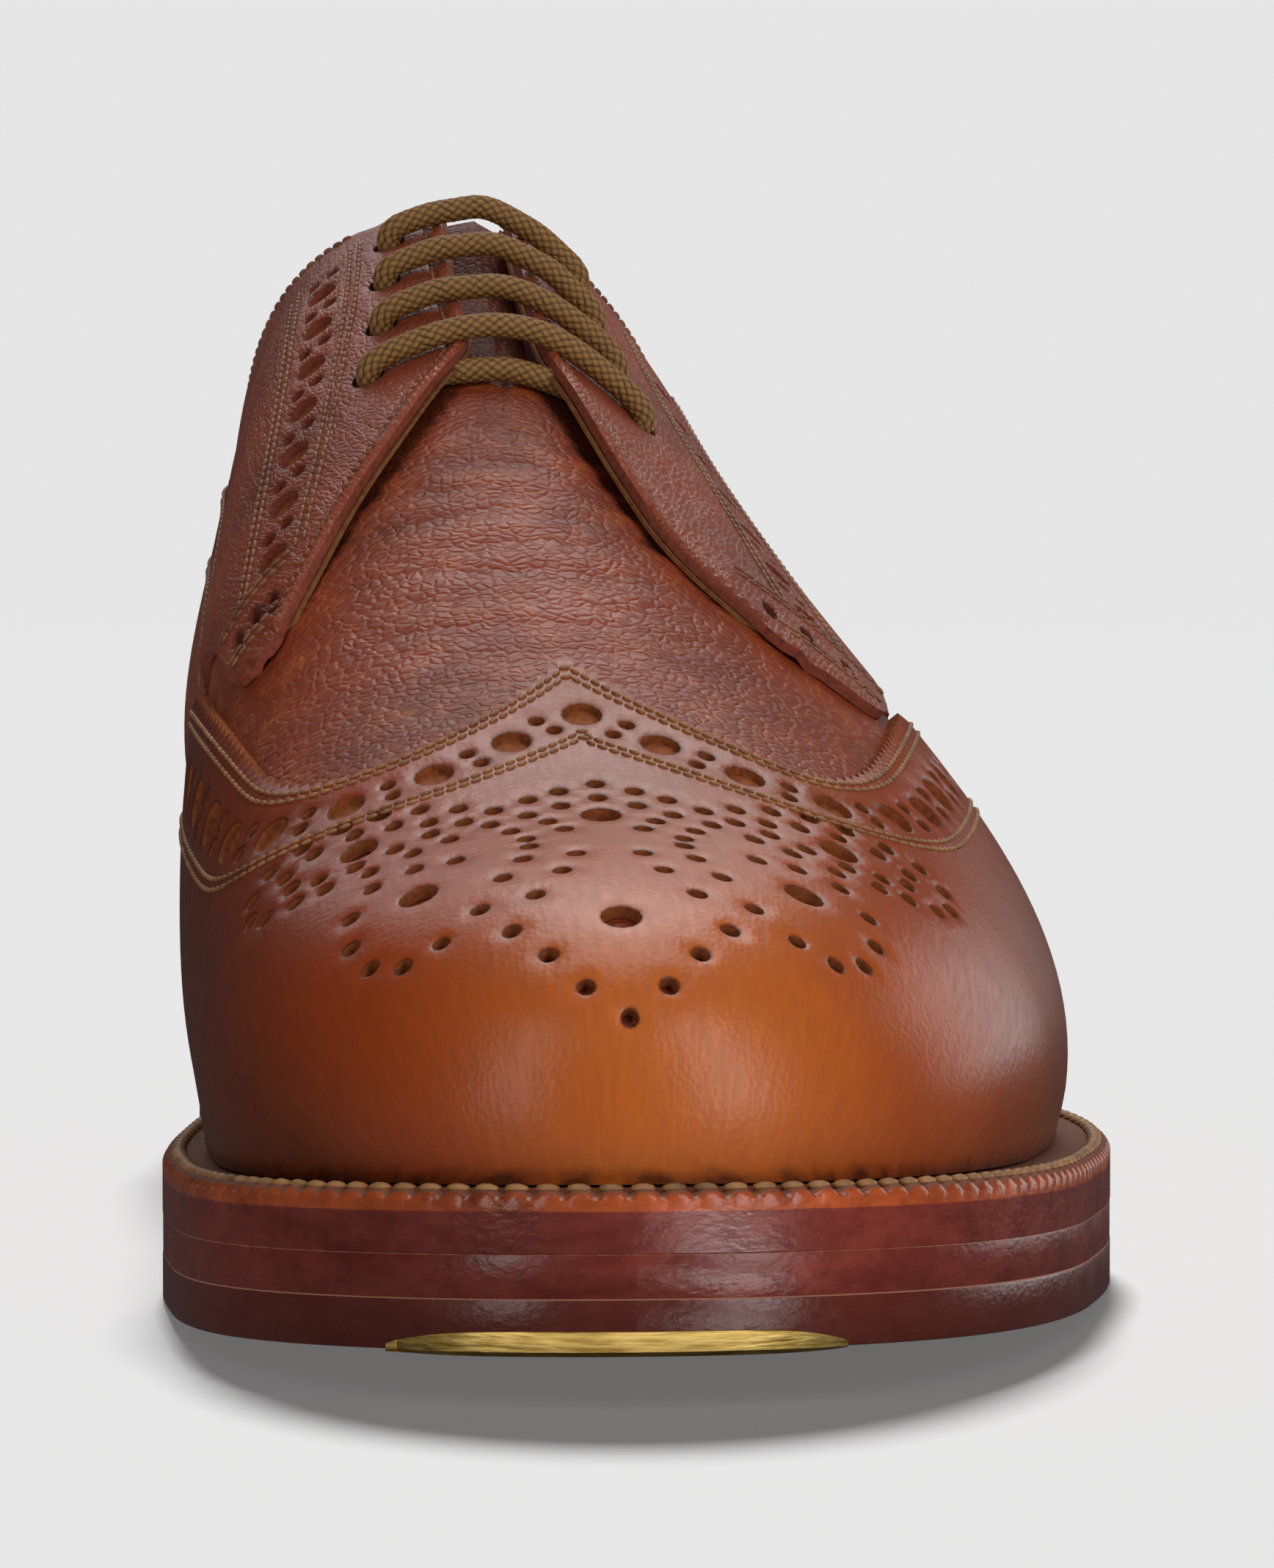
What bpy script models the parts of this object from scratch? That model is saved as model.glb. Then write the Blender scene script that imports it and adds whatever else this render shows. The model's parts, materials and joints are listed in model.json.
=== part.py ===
"""Left full brogue derby: upper, overlays, laces and a stacked leather sole on one last.

Lengths are millimetres until a mesh is made. s runs from the toe tip of the sole to the heel,
x is medial (minus) to lateral (plus), z is up. The parameter a walks round the shoe:
0 at the toe, minus on the medial side, plus on the lateral side, -1 and 1 at the heel.
The parameter t climbs the wall of the last from the feather edge (0) to the ridge or topline (1).
"""
import bmesh
import bpy
import numpy as np

for stale in list(bpy.data.objects):
    bpy.data.objects.remove(stale)

MM = 0.001
SOLE_LENGTH = 306.0
CENTRE_X = -0.387
OUTSOLE, MIDSOLE, WELT = 5.4, 4.6, 6.8
STACK = OUTSOLE + MIDSOLE + WELT
SEAT = 0.3
TOE_SPRING, SPRING_START, SPRING_POWER = 5.7, 95.0, 1.4
HEEL_HEIGHT, WAIST_START, WAIST_END = 26.0, 128.0, 236.0
TOE_S, HEEL_S = 8.0, 301.0
TOE_X, HEEL_X = -8.0, -16.0
TOE_ROUND, HEEL_ROUND, COLLAR_ROUND = 60.0, 40.0, 34.0
AXIS_TURN, AXIS_RUN, COLLAR_RUN = 40.0, 220.0, 64.0
RIDGE_S, FAN_END, THROAT_S = 38.0, 100.0, 140.0
TOP_FRONT, TOP_BACK, TOP_X = 186.0, 291.0, -15.4
SLIT, SLIT_RUN = 5.0, 10.0
WALL = 2.0
TOE_LINES, HEEL_LINES, BREAST_LINES = 10, 8, 14
MIDDLE_STATIONS = (78, 88, 98, 108, 118, 126, 134, 140, 146, 154, 163, 172, 180, 186, 188, 191, 196, 203,
                   212, 222, 233, 246)

# station, medial x, lateral x of the feather edge
FEATHER = ((8, -49.2, 34.5), (30, -49.3, 35), (60, -48.5, 38.5), (90, -49.3, 45), (112, -48, 47.5),
           (135, -45.3, 45), (160, -42, 38), (185, -40.6, 29), (210, -41.8, 21), (235, -44.6, 15.8),
           (260, -46.5, 14.6), (301.5, -46.9, 14.6))
# station, medial, lateral welt margin outside the feather edge
MARGIN = ((8, 8, 8), (60, 6.7, 8), (100, 6.8, 8.2), (150, 5.3, 6.6), (200, 4.5, 4.6), (250, 4.4, 4.4),
          (301.5, 5.05, 5.05))
# station, x, z of the ridge from toe to throat, and on over the open collar
RIDGE = ((30, -8, 50.3), (38, -7.9, 52.4), (55, -7.7, 56.3), (75, -8.2, 63.2), (90, -9.4, 70.6),
         (105, -11, 80.5), (120, -12.6, 91.3), (135, -13.7, 101.5), (150, -14.2, 109.8),
         (165, -14.6, 117.2), (186, -15.4, 126), (200, -15.9, 129.5), (220, -16.4, 131))
# station, medial, lateral half width and height of the topline
TOPLINE = ((186, 3, 3, 126), (190, 14, 9, 123.3), (196, 20, 16, 117.5), (204, 23.5, 21.5, 109),
           (215, 25.2, 25, 101.5), (230, 26, 27.5, 96.5), (247, 26.2, 28.5, 95.5), (266, 26, 28, 98.5),
           (291, 25.5, 27, 105))
# station, then medial and lateral: wall handle, top handle, flare, tilt of the wall at the ridge
ARCH = ((8, .62, .62, .60, .60, 3, 3, 0, 0), (40, .66, .60, .65, .60, 8, 8, 0, 0),
        (90, .75, .53, .85, .57, 9.8, 10, 0, 0), (120, .75, .42, .95, .43, 12.8, 8, 0, 4),
        (150, .75, .33, .95, .34, 14, 6, 2, 14), (170, .74, .32, .90, .32, 12, 5.5, 5, 23),
        (186, .70, .33, .78, .33, 8.5, 5, 9, 26), (220, .66, .34, .72, .33, 7, 5, 12, 28))
# the same columns for the walls under the topline
REAR = ((190, .66, .34, .36, .26, 7.5, 5, 22, 40), (196, .56, .35, .25, .26, 6.5, 5, 44, 52),
        (204, .48, .35, .24, .28, 6, 5, 61, 64), (215, .42, .35, .30, .32, 6, 5.5, 73, 74),
        (230, .39, .36, .35, .35, 5.8, 6, 80, 80), (260, .36, .36, .36, .36, 6, 6.5, 84, 84),
        (301.5, .36, .36, .36, .36, 7, 7, 82, 82))
REAR_START, REAR_END = 191.0, 222.0
# distance from the ridge line and station of the wing edge on the flattened pattern, each side
WING_MEDIAL = ((0, 93), (7, 86.3), (14.5, 80.6), (21.5, 77.2), (27.5, 76.8), (33.5, 80.5), (38, 91),
               (42, 103.4), (48, 118), (60, 140), (78, 165))
WING_LATERAL = ((0, 93), (7, 86), (13.5, 81.3), (20, 78), (26, 77.3), (31, 81), (38, 92.6),
                (46, 108), (55, 124), (68, 145), (84, 168))
WING_TAIL = 187.0
# station, medial, lateral distance of the facing edge from the ridge
FACING = ((107, 31, 31), (113.5, 25, 20), (122, 18, 13.2), (130, 11.7, 9.2), (138, 6.8, 6.2), (145, 4.1, 4.3),
          (152, 3.9, 3.9), (187, 3.9, 3.9))
# station, medial, lateral distance of the tab's outer edge from the ridge, until it meets the wing
TAB = ((107, 36, 43.5), (112, 37.5, 46), (118, 40, 49.5), (126, 45.2, 54.4), (135, 54, 62), (140, 70, 80))
TAB_START = 107.0
WING_CLEAR = 1.8
# nearest that an overlay comes to the feather edge, and the heel seam, as t and a
WING_FOOT, TAIL_FOOT, SIDE_FOOT, HEEL_SEAM = 0.01, 0.02, 0.012, 0.9985
# station and height of the counter's upper edge
COUNTER = ((202, 41), (210, 52), (222, 68), (240, 84), (262, 90), (301.5, 92))
# station, medial, lateral reach from the ridge of each lace bar
BARS = ((145, 16.2, 18.6), (156, 13.8, 16.4), (167.5, 12.6, 14.8), (179, 11.2, 14))
UNDER_BAR = (141.5, 4.4, 4.4)
# station and half width of the tongue
TONGUE = ((126, 16), (133, 20), (140, 22), (147, 22), (154, 22), (161, 21.5), (168, 21), (175, 20.5), (180, 19),
          (183.5, 16))
TONGUE_GAP, TONGUE_WALL, TONGUE_COLUMNS = 0.4, 1.6, 9
LACE_RADIUS = 1.6
LACE_SIDES, LACE_STEPS = 7, 8
BASE = -0.6
OVERLAY_LOW, OVERLAY_HIGH = 0.3, 1.6
COUNTER_LOW, COUNTER_HIGH = 2.0, 3.2
ROWS = np.array((0, .09, .2, .32, .45, .58, .71, .83, .92, 1.0))
HEEL_BREAST, TOP_PIECE = 239.0, 6.0
# height and inset of the heel stack's layered profile
HEEL_PROFILE = ((6.3, 1.3), (12.4, 1.2), (12.7, 1.6), (13.0, 1.2), (18.9, 1.0), (19.2, 1.4), (19.5, 1.0),
                (25.7, 0.7))
TOP_PIECE_PROFILE = ((0.0, 2.0), (0.6, 1.4), (TOP_PIECE, 1.4))
PLATE_X, PLATE_HALF, PLATE_BACK, PLATE_TOP, PLATE_PROUD, PLATE_OUT = -9.5, 24.1, 9.0, 2.2, 0.6, 0.1
PLATE_POINTS, PLATE_REACH, CUT_PAST = 13, 0.3, 4.0
SOLE_CORNER, MIDSOLE_INSET, WELT_CORNER, WELT_INNER = 0.8, 0.15, 0.5, 5.0
INSOLE_FILL, INSOLE_CLEAR, INSOLE_TOP = 5.4, 0.7, 2.2

# colour and roughness of each leather, cord, rubber and metal
SOLE_INK = (0.06, 0.02, 0.015), 0.35
MIDSOLE_INK = (0.08, 0.025, 0.018), 0.35
HEEL_INK = (0.07, 0.025, 0.018), 0.4
WELT_BROWN = (0.22, 0.07, 0.03), 0.45
SOCK_TAN = (0.45, 0.26, 0.13), 0.7
RUBBER_BLACK = (0.02, 0.018, 0.016), 0.6
BRASS = (0.45, 0.28, 0.07), 0.3
VAMP_BROWN = (0.2, 0.05, 0.025), 0.4
CAP_TAN = (0.33, 0.1, 0.03), 0.3
QUARTER_BROWN = (0.13, 0.04, 0.03), 0.4
COUNTER_BROWN = (0.12, 0.035, 0.025), 0.4
LACE_BRONZE = (0.16, 0.09, 0.025), 0.6
CUTTER_GREY = (0.5, 0.5, 0.5), 0.5


def spline(rows, column):
    """Return a natural cubic spline through one column of a table, held flat outside it."""
    x = np.array([row[0] for row in rows], float)
    y = np.array([row[column] for row in rows], float)
    count = len(x)
    step = np.diff(x)
    matrix = np.zeros((count, count))
    right = np.zeros(count)
    matrix[0, 0] = matrix[-1, -1] = 1
    for i in range(1, count - 1):
        matrix[i, i - 1:i + 2] = step[i - 1], 2 * (step[i - 1] + step[i]), step[i]
        right[i] = 6 * ((y[i + 1] - y[i]) / step[i] - (y[i] - y[i - 1]) / step[i - 1])
    bend = np.linalg.solve(matrix, right)

    def at(s):
        s = np.clip(np.asarray(s, float), x[0], x[-1])
        i = np.clip(np.searchsorted(x, s) - 1, 0, count - 2)
        after, before, h = x[i + 1] - s, s - x[i], step[i]
        cubic = (bend[i] * after ** 3 + bend[i + 1] * before ** 3) / (6 * h)
        return cubic + (y[i] / h - bend[i] * h / 6) * after + (y[i + 1] / h - bend[i + 1] * h / 6) * before

    return at


def pair(rows, column):
    """Return splines of a medial column and the lateral one after it."""
    return spline(rows, column), spline(rows, column + 1)


FEATHER_X = pair(FEATHER, 1)
WELT_MARGIN = pair(MARGIN, 1)
RIDGE_X, RIDGE_Z = pair(RIDGE, 1)
TOP_SQUARE = pair([(row[0], row[1] ** 2, row[2] ** 2) for row in TOPLINE], 1)
TOP_Z = spline(TOPLINE, 3)
ARCH_SHAPE = [pair(ARCH, column) for column in (1, 3, 5, 7)]
REAR_SHAPE = [pair(REAR, column) for column in (1, 3, 5, 7)]
FACING_EDGE = pair(FACING, 1)
TAB_EDGE = pair(TAB, 1)
COUNTER_Z = spline(COUNTER, 1)


def smoothstep(x):
    x = np.clip(x, 0, 1)
    return x * x * (3 - 2 * x)


def round_end(x):
    """Quarter ellipse from 0 at x = 0 to 1 at x = 1."""
    return np.sqrt(1 - (1 - np.clip(x, 0, 1)) ** 2)


def sole_bottom(s):
    spring = TOE_SPRING * np.clip((SPRING_START - s) / SPRING_START, 0, None) ** SPRING_POWER
    return spring + HEEL_HEIGHT * smoothstep((s - WAIST_START) / (WAIST_END - WAIST_START))


def wrap(a):
    return (np.asarray(a, float) + 1) % 2 - 1


def station(a):
    return TOE_S + (HEEL_S - TOE_S) * (1 - np.cos(np.pi * np.abs(wrap(a)))) / 2


def loop_at(s, side):
    """Return the walk parameter of a station on one side."""
    return side * np.arccos(np.clip(1 - 2 * (np.asarray(s, float) - TOE_S) / (HEEL_S - TOE_S), -1, 1)) / np.pi


def pick(a, both, s):
    return np.where(wrap(a) < 0, both[0](s), both[1](s))


def feather(a):
    """Return points of the edge where the upper meets the welt."""
    s = station(a)
    middle = TOE_X + (HEEL_X - TOE_X) * smoothstep((s - AXIS_TURN) / AXIS_RUN)
    ends = round_end((s - TOE_S) / TOE_ROUND) * round_end((HEEL_S - s) / HEEL_ROUND)
    x = middle + (pick(a, FEATHER_X, s) - middle) * ends
    return np.stack([x, s, sole_bottom(s) + STACK], -1)


def outward(a, e=1e-4):
    """Return the plan normal of the feather edge."""
    d = feather(np.asarray(a) + e) - feather(np.asarray(a) - e)
    n = np.stack([d[..., 1], -d[..., 0], 0 * d[..., 0]], -1)
    return n / np.linalg.norm(n, axis=-1, keepdims=True)


def edge(a, inset=0.0):
    """Return plan points of the sole edge, moved in by an inset."""
    margin = pick(a, WELT_MARGIN, station(a)) - inset
    return (feather(a) + outward(a) * margin[..., None])[..., :2]


def inside(a, inset):
    """Return plan points inside the feather edge."""
    return (feather(a) - outward(a) * inset)[..., :2]


def ridge_top(a):
    """Return the ridge point over each line; lines fan out round the toe."""
    s = station(a)
    st = s + (RIDGE_S - TOE_S) * np.clip(1 - (s - TOE_S) / (FAN_END - TOE_S), 0, 1) ** 2
    return np.stack([RIDGE_X(st), st, RIDGE_Z(st)], -1)


def topline(a):
    """Return the collar point over each line behind the throat."""
    s = station(a)
    st = s - (HEEL_S - TOP_BACK) * np.clip((s - TOP_FRONT) / (HEEL_S - TOP_FRONT), 0, 1) ** 2
    side = np.where(wrap(a) < 0, -1, 1)
    centre = TOP_X + (HEEL_X - TOP_X) * smoothstep((st - TOP_FRONT) / COLLAR_RUN)
    half = np.sqrt(np.clip(pick(a, TOP_SQUARE, st), 0, None)) * round_end((TOP_BACK - st) / COLLAR_ROUND)
    return np.stack([centre + side * half, st, TOP_Z(st)], -1)


def ridge_slope(s, e=0.5):
    return (RIDGE_Z(s + e) - RIDGE_Z(s - e)) / (2 * e)


def climb(a, t, top, shape, slope):
    """Return points of one cubic curve per line from the feather edge to a top point."""
    s = station(a)
    foot = feather(a)
    wall_handle, top_handle, flare, tilt = [pick(a, both, s) for both in shape]
    tilt = np.radians(np.clip(tilt, 0, 89))
    run = top - foot
    rise = run[..., 2]
    flat_run = run * (1, 1, 0)
    reach = np.linalg.norm(flat_run, axis=-1)
    heading = flat_run / np.maximum(reach, 1e-9)[..., None]
    up = np.array((0, 0, 1.0))
    lean = slope * heading[..., 1]
    tangent = heading * np.cos(tilt)[..., None] + up * (np.sin(tilt) + lean * np.cos(tilt))[..., None]
    grip = top_handle * (reach * np.cos(tilt) + rise * np.sin(tilt))
    low = foot + outward(a) * flare[..., None] + up * (wall_handle * rise)[..., None]
    high = top - tangent * grip[..., None]
    t = t[..., None]
    return foot * (1 - t) ** 3 + 3 * low * t * (1 - t) ** 2 + 3 * high * t * t * (1 - t) + top * t ** 3


def arch(a, t):
    top = ridge_top(a)
    return climb(a, t, top, ARCH_SHAPE, ridge_slope(top[..., 1]))


def collar_cut(side, samples=60, levels=400):
    """Return stations behind the throat and the t where the topline cuts the arch there."""
    s = TOP_FRONT + (REAR_END - TOP_FRONT) * np.linspace(0, 1, samples) ** 2
    t = np.linspace(0, 1, levels)
    a = loop_at(s, side)
    z = arch(*np.broadcast_arrays(a[:, None], t[None]))[..., 2]
    return s, np.array([np.interp(h, row, t) for h, row in zip(TOP_Z(s), z)])


COLLAR_CUT = collar_cut(-1), collar_cut(1)


def wall(a, t):
    """Return points of the last: arches over the ridge in front, open walls to the topline behind."""
    a, t = np.broadcast_arrays(np.asarray(a, float), np.asarray(t, float))
    s = station(a)
    cut = np.where(wrap(a) < 0, np.interp(s, *COLLAR_CUT[0]), np.interp(s, *COLLAR_CUT[1]))
    front = arch(a, t * cut)
    rear = climb(a, t, topline(a), REAR_SHAPE, 0.0)
    share = smoothstep((s - REAR_START) / (REAR_END - REAR_START))[..., None]
    return front * (1 - share) + rear * share


def top_edge(a):
    """Return points of the ridge in front and of the topline behind it."""
    return wall(a, 1.0)


def normal(a, t, ea=2e-4, et=2e-3):
    """Return outward normals of the last, the ridge's own along the ridge."""
    a, t = np.broadcast_arrays(np.asarray(a, float), np.asarray(t, float))
    inner = np.clip(t, 0.01, 0.985)
    n = np.cross(wall(a + ea, inner) - wall(a - ea, inner), wall(a, inner + et) - wall(a, inner - et))
    st = top_edge(a)[..., 1]
    slope = ridge_slope(st)
    crest = np.stack([0 * slope, -slope, 0 * slope + 1], -1)
    on_ridge = (t > 0.999) & (station(a) < TOP_FRONT)
    n = np.where(on_ridge[..., None], crest, n)
    return n / np.linalg.norm(n, axis=-1, keepdims=True)


def skin(a, t, height):
    """Return points at a height off the last, kept clear of the welt."""
    p = wall(a, t) + normal(a, t) * height
    p[..., 2] = np.maximum(p[..., 2], sole_bottom(p[..., 1]) + STACK + SEAT)
    return p


def ridge_distance(a, samples=160):
    """Return t samples and the length of the wall from each of them to its top."""
    t = np.linspace(0, 1, samples)
    p = wall(np.asarray(a, float)[:, None], t[None])
    length = np.linalg.norm(np.diff(p, axis=1), axis=-1)
    total = np.cumsum(length[:, ::-1], axis=1)[:, ::-1]
    return t, np.concatenate([total, np.zeros((len(total), 1))], axis=1)


def t_at_distance(a, distance):
    """Return t on each line where the wall is a given length away from its top."""
    t, length = ridge_distance(a)
    rows = [np.interp(d, row[::-1], t[::-1]) for d, row in zip(distance, length)]
    return np.array(rows)


def t_at_height(a, height, samples=160):
    t = np.linspace(0, 1, samples)
    z = wall(np.asarray(a, float)[:, None], t[None])[..., 2]
    return np.array([np.interp(h, row, t) for h, row in zip(height, z)])


def pattern(a, t, samples=25):
    """Return the flattened pattern of the last: walls unrolled sideways from the ridge."""
    a, t = np.broadcast_arrays(np.asarray(a, float), np.asarray(t, float))
    steps = t[..., None] + (1 - t[..., None]) * np.linspace(0, 1, samples)
    p = wall(np.broadcast_to(a[..., None], steps.shape), steps)
    length = np.linalg.norm(np.diff(p, axis=-2), axis=-1).sum(-1)
    top, foot = top_edge(a), feather(a)
    level = (top - foot)[..., :2]
    heading = level / np.linalg.norm(level, axis=-1, keepdims=True)
    return top[..., :2] - heading * length[..., None]


def from_pattern(points, passes=6, reach=0.66, lines=265, levels=61, most_a=0.01, most_t=0.05, e=1e-4):
    """Return a and t of points on the flattened pattern, from the nearest grid point in short steps."""
    span = np.linspace(-reach, reach, lines)
    height = np.linspace(0, 1, levels)
    grid_a, grid_t = [g.ravel() for g in np.meshgrid(span, height, indexing='ij')]
    flat = pattern(grid_a, grid_t)
    best = np.array([np.argmin(((flat - p) ** 2).sum(-1)) for p in points])
    a, t = grid_a[best], grid_t[best]
    for _ in range(passes):
        miss = points - pattern(a, t)
        low = np.clip(t - e, 0, 1)
        high = np.clip(t + e, 0, 1)
        da = (pattern(a + e, t) - pattern(a - e, t)) / (2 * e)
        dt = (pattern(a, high) - pattern(a, low)) / (high - low)[:, None]
        area = da[:, 0] * dt[:, 1] - da[:, 1] * dt[:, 0]
        area = np.where(np.abs(area) < 1e-6, 1e-6, area)
        step_a = (miss[:, 0] * dt[:, 1] - miss[:, 1] * dt[:, 0]) / area
        step_t = (da[:, 0] * miss[:, 1] - da[:, 1] * miss[:, 0]) / area
        a = a + np.clip(step_a, -most_a, most_a)
        t = np.clip(t + np.clip(step_t, -most_t, most_t), 0, 1)
    return a, t


def add_solid(name, verts, faces, finish):
    """Make one closed named body from millimetre points and give it its material."""
    colour, roughness = finish
    mesh = bpy.data.meshes.new(name)
    shift = np.array((CENTRE_X, SOLE_LENGTH / 2, 0.0))
    mesh.from_pydata([tuple((p - shift) * MM) for p in verts], [], faces)
    bm = bmesh.new()
    bm.from_mesh(mesh)
    bmesh.ops.remove_doubles(bm, verts=bm.verts, dist=1e-6)
    bmesh.ops.triangulate(bm, faces=bm.faces)
    bmesh.ops.recalc_face_normals(bm, faces=bm.faces)
    if bm.calc_volume(signed=True) < 0:
        bmesh.ops.reverse_faces(bm, faces=bm.faces)
    bm.to_mesh(mesh)
    bm.free()
    material = bpy.data.materials.new(name)
    material.use_nodes = True
    shader = material.node_tree.nodes['Principled BSDF']
    shader.inputs['Base Color'].default_value = (*colour, 1)
    shader.inputs['Roughness'].default_value = roughness
    mesh.materials.append(material)
    body = bpy.data.objects.new(name, mesh)
    bpy.context.scene.collection.objects.link(body)
    return body


def grid_faces(rows, columns, start=0, loop=False, flip=False):
    faces = []
    for i in range(rows if loop else rows - 1):
        j = (i + 1) % rows
        for k in range(columns - 1):
            face = (start + i * columns + k, start + j * columns + k,
                    start + j * columns + k + 1, start + i * columns + k + 1)
            faces.append(face[::-1] if flip else face)
    return faces


def add_sheet(name, outer, inner, finish, open_top=None, loop=False):
    """Join an outer and an inner grid of points into one closed body with a rim round its borders."""
    rows, columns = outer.shape[:2]
    count = rows * columns
    verts = np.concatenate([outer.reshape(-1, 3), inner.reshape(-1, 3)])
    faces = grid_faces(rows, columns, 0, loop) + grid_faces(rows, columns, count, loop, True)
    for i in range(rows if loop else rows - 1):
        j = (i + 1) % rows
        low, high = i * columns, j * columns
        faces.append((high, low, low + count, high + count))
        if open_top is None or open_top[i] or open_top[j]:
            low, high = low + columns - 1, high + columns - 1
            faces.append((low, high, high + count, low + count))
    if not loop:
        for k in range(columns - 1):
            end = (rows - 1) * columns + k
            faces.append((k, k + 1, k + 1 + count, k + count))
            faces.append((end + 1, end, end + count, end + 1 + count))
    return add_solid(name, verts, faces, finish)


def half_lines():
    """Return the walk parameters of one side from toe to heel."""
    toe = TOE_S + TOE_ROUND * (1 - np.cos(np.linspace(0, np.pi / 2, TOE_LINES)))
    heel = HEEL_S - HEEL_ROUND * (1 - np.cos(np.linspace(np.pi / 2, 0, HEEL_LINES)))
    return loop_at(np.concatenate([toe, MIDDLE_STATIONS, heel]), 1)


HALF = half_lines()
LOOP = np.concatenate([-HALF[:0:-1], HALF[:-1]])


def add_layers(name, half, layers, finish, square_front=None):
    """Stack plan outlines into one closed body; each layer gives its outline function and height function."""
    verts = []
    count = len(half)
    for outline, height in layers:
        for side in (-1, 1):
            plan = outline(half * side)
            if square_front is not None:
                plan[0, 1] = square_front
            verts += [(x, y, height(y)) for x, y in plan]
    ring = 2 * count
    walk = list(range(count)) + [count + i for i in range(count - 1, -1, -1)]
    faces = []
    for level in range(len(layers) - 1):
        for k in range(ring):
            low, high = walk[k], walk[(k + 1) % ring]
            faces.append((level * ring + low, level * ring + high,
                          (level + 1) * ring + high, (level + 1) * ring + low))
    for level, flip in ((0, False), (len(layers) - 1, True)):
        for i in range(count - 1):
            face = [level * ring + k for k in (i, i + 1, count + i + 1, count + i)]
            faces.append(face[::-1] if flip else face)
    return add_solid(name, np.array(verts), faces, finish)


def above(height):
    """Return a height function at a given level above the underside of the sole."""
    return lambda s: float(sole_bottom(s) + height)


def level(height):
    return lambda s: height


def trimmed(inset):
    """Return an outline function of the sole edge moved in by an inset."""
    return lambda a: edge(a, inset)


def within(inset):
    """Return an outline function inside the feather edge."""
    return lambda a: inside(a, inset)


def add_soles():
    lower = OUTSOLE + SEAT
    upper = OUTSOLE + MIDSOLE
    outsole = add_layers('outsole', HALF, [(trimmed(SOLE_CORNER), above(0)), (edge, above(SOLE_CORNER)),
                                           (edge, above(OUTSOLE))], SOLE_INK)
    add_layers('midsole', HALF, [(trimmed(MIDSOLE_INSET), above(lower)), (trimmed(MIDSOLE_INSET), above(upper))],
               MIDSOLE_INK)
    ring = []
    for outline, height in ((within(WELT_INNER), upper + SEAT), (edge, upper + SEAT), (edge, STACK - WELT_CORNER),
                            (trimmed(WELT_CORNER), STACK), (within(WELT_INNER), STACK)):
        plan = outline(LOOP)
        ring.append(np.column_stack([plan, sole_bottom(plan[:, 1]) + height]))
    ring = np.stack(ring, 1)
    rows, columns = ring.shape[:2]
    closed = np.concatenate([ring, ring[:, :1]], 1).reshape(-1, 3)
    add_solid('welt', closed, grid_faces(rows, columns + 1, 0, True), WELT_BROWN)
    fill, sock = within(INSOLE_FILL), within(WALL - BASE + INSOLE_CLEAR)
    add_layers('insole', HALF, [(fill, above(upper + SEAT)), (fill, above(STACK + SEAT)), (sock, above(STACK + SEAT)),
                                (sock, above(STACK + INSOLE_TOP))], SOCK_TAN)
    return outsole


def add_heel():
    """Build the stacked heel and the top piece under it, cut square at the breast."""
    stations = HEEL_S - (HEEL_S - HEEL_BREAST) * (1 - np.sin(np.linspace(0, np.pi / 2, BREAST_LINES)))
    half = loop_at(stations, 1)
    for name, profile, finish in (('heel_stack', HEEL_PROFILE, HEEL_INK),
                                  ('heel_top_piece', TOP_PIECE_PROFILE, RUBBER_BLACK)):
        layers = [(trimmed(inset), level(z)) for z, inset in profile]
        add_layers(name, half, layers, finish, HEEL_BREAST)


def crescent(spread, back, out):
    """Return front and back plan points of the toe plate."""
    x = PLATE_X + np.linspace(-1, 1, PLATE_POINTS) * (PLATE_HALF + spread)
    front = edge(LOOP, -out)
    near = front[np.abs(LOOP) < PLATE_REACH]
    order = np.argsort(near[:, 0])
    y = np.interp(x, near[order, 0], near[order, 1])
    return np.column_stack([x, y]), np.column_stack([x, 0 * x + PLATE_BACK + back])


def plate_grid(spread, back, out, height):
    front, rear = crescent(spread, back, out)
    rows = [np.column_stack([p, sole_bottom(p[:, 1]) + height]) for p in (front, rear)]
    return np.stack(rows, 1)


def add_toe_plate(outsole):
    """Let a brass crescent into the underside of the outsole at the toe."""
    body = add_sheet('toe_plate', plate_grid(0, 0, PLATE_OUT, PLATE_TOP), plate_grid(0, 0, PLATE_OUT, -PLATE_PROUD),
                     BRASS)
    body.data.materials[0].node_tree.nodes['Principled BSDF'].inputs['Metallic'].default_value = 1.0
    cutter = add_sheet('toe_plate_cutter', plate_grid(SEAT, SEAT, CUT_PAST, PLATE_TOP + SEAT),
                       plate_grid(SEAT, SEAT, CUT_PAST, -CUT_PAST), CUTTER_GREY)
    cutter.hide_render = True
    cutter.display_type = 'WIRE'
    recess = outsole.modifiers.new('toe plate recess', 'BOOLEAN')
    recess.operation = 'DIFFERENCE'
    recess.solver = 'EXACT'
    recess.object = cutter


def throat_top(a, samples=200):
    """Return where each line of the upper ends: at the ridge, at the throat slit or at the topline."""
    st = top_edge(a)[:, 1]
    gap = SLIT * np.sqrt(np.clip((st - THROAT_S) / SLIT_RUN, 0, 1))
    t = np.linspace(0.5, 1, samples)
    x = wall(a[:, None], t[None])[..., 0]
    t_top = np.ones(len(a))
    for i in range(len(a)):
        if THROAT_S + 0.01 < st[i] < TOP_FRONT + 0.5:
            t_top[i] = np.interp(gap[i], np.abs(x[i, ::-1] - RIDGE_X(st[i])), t[::-1])
    return t_top


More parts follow.
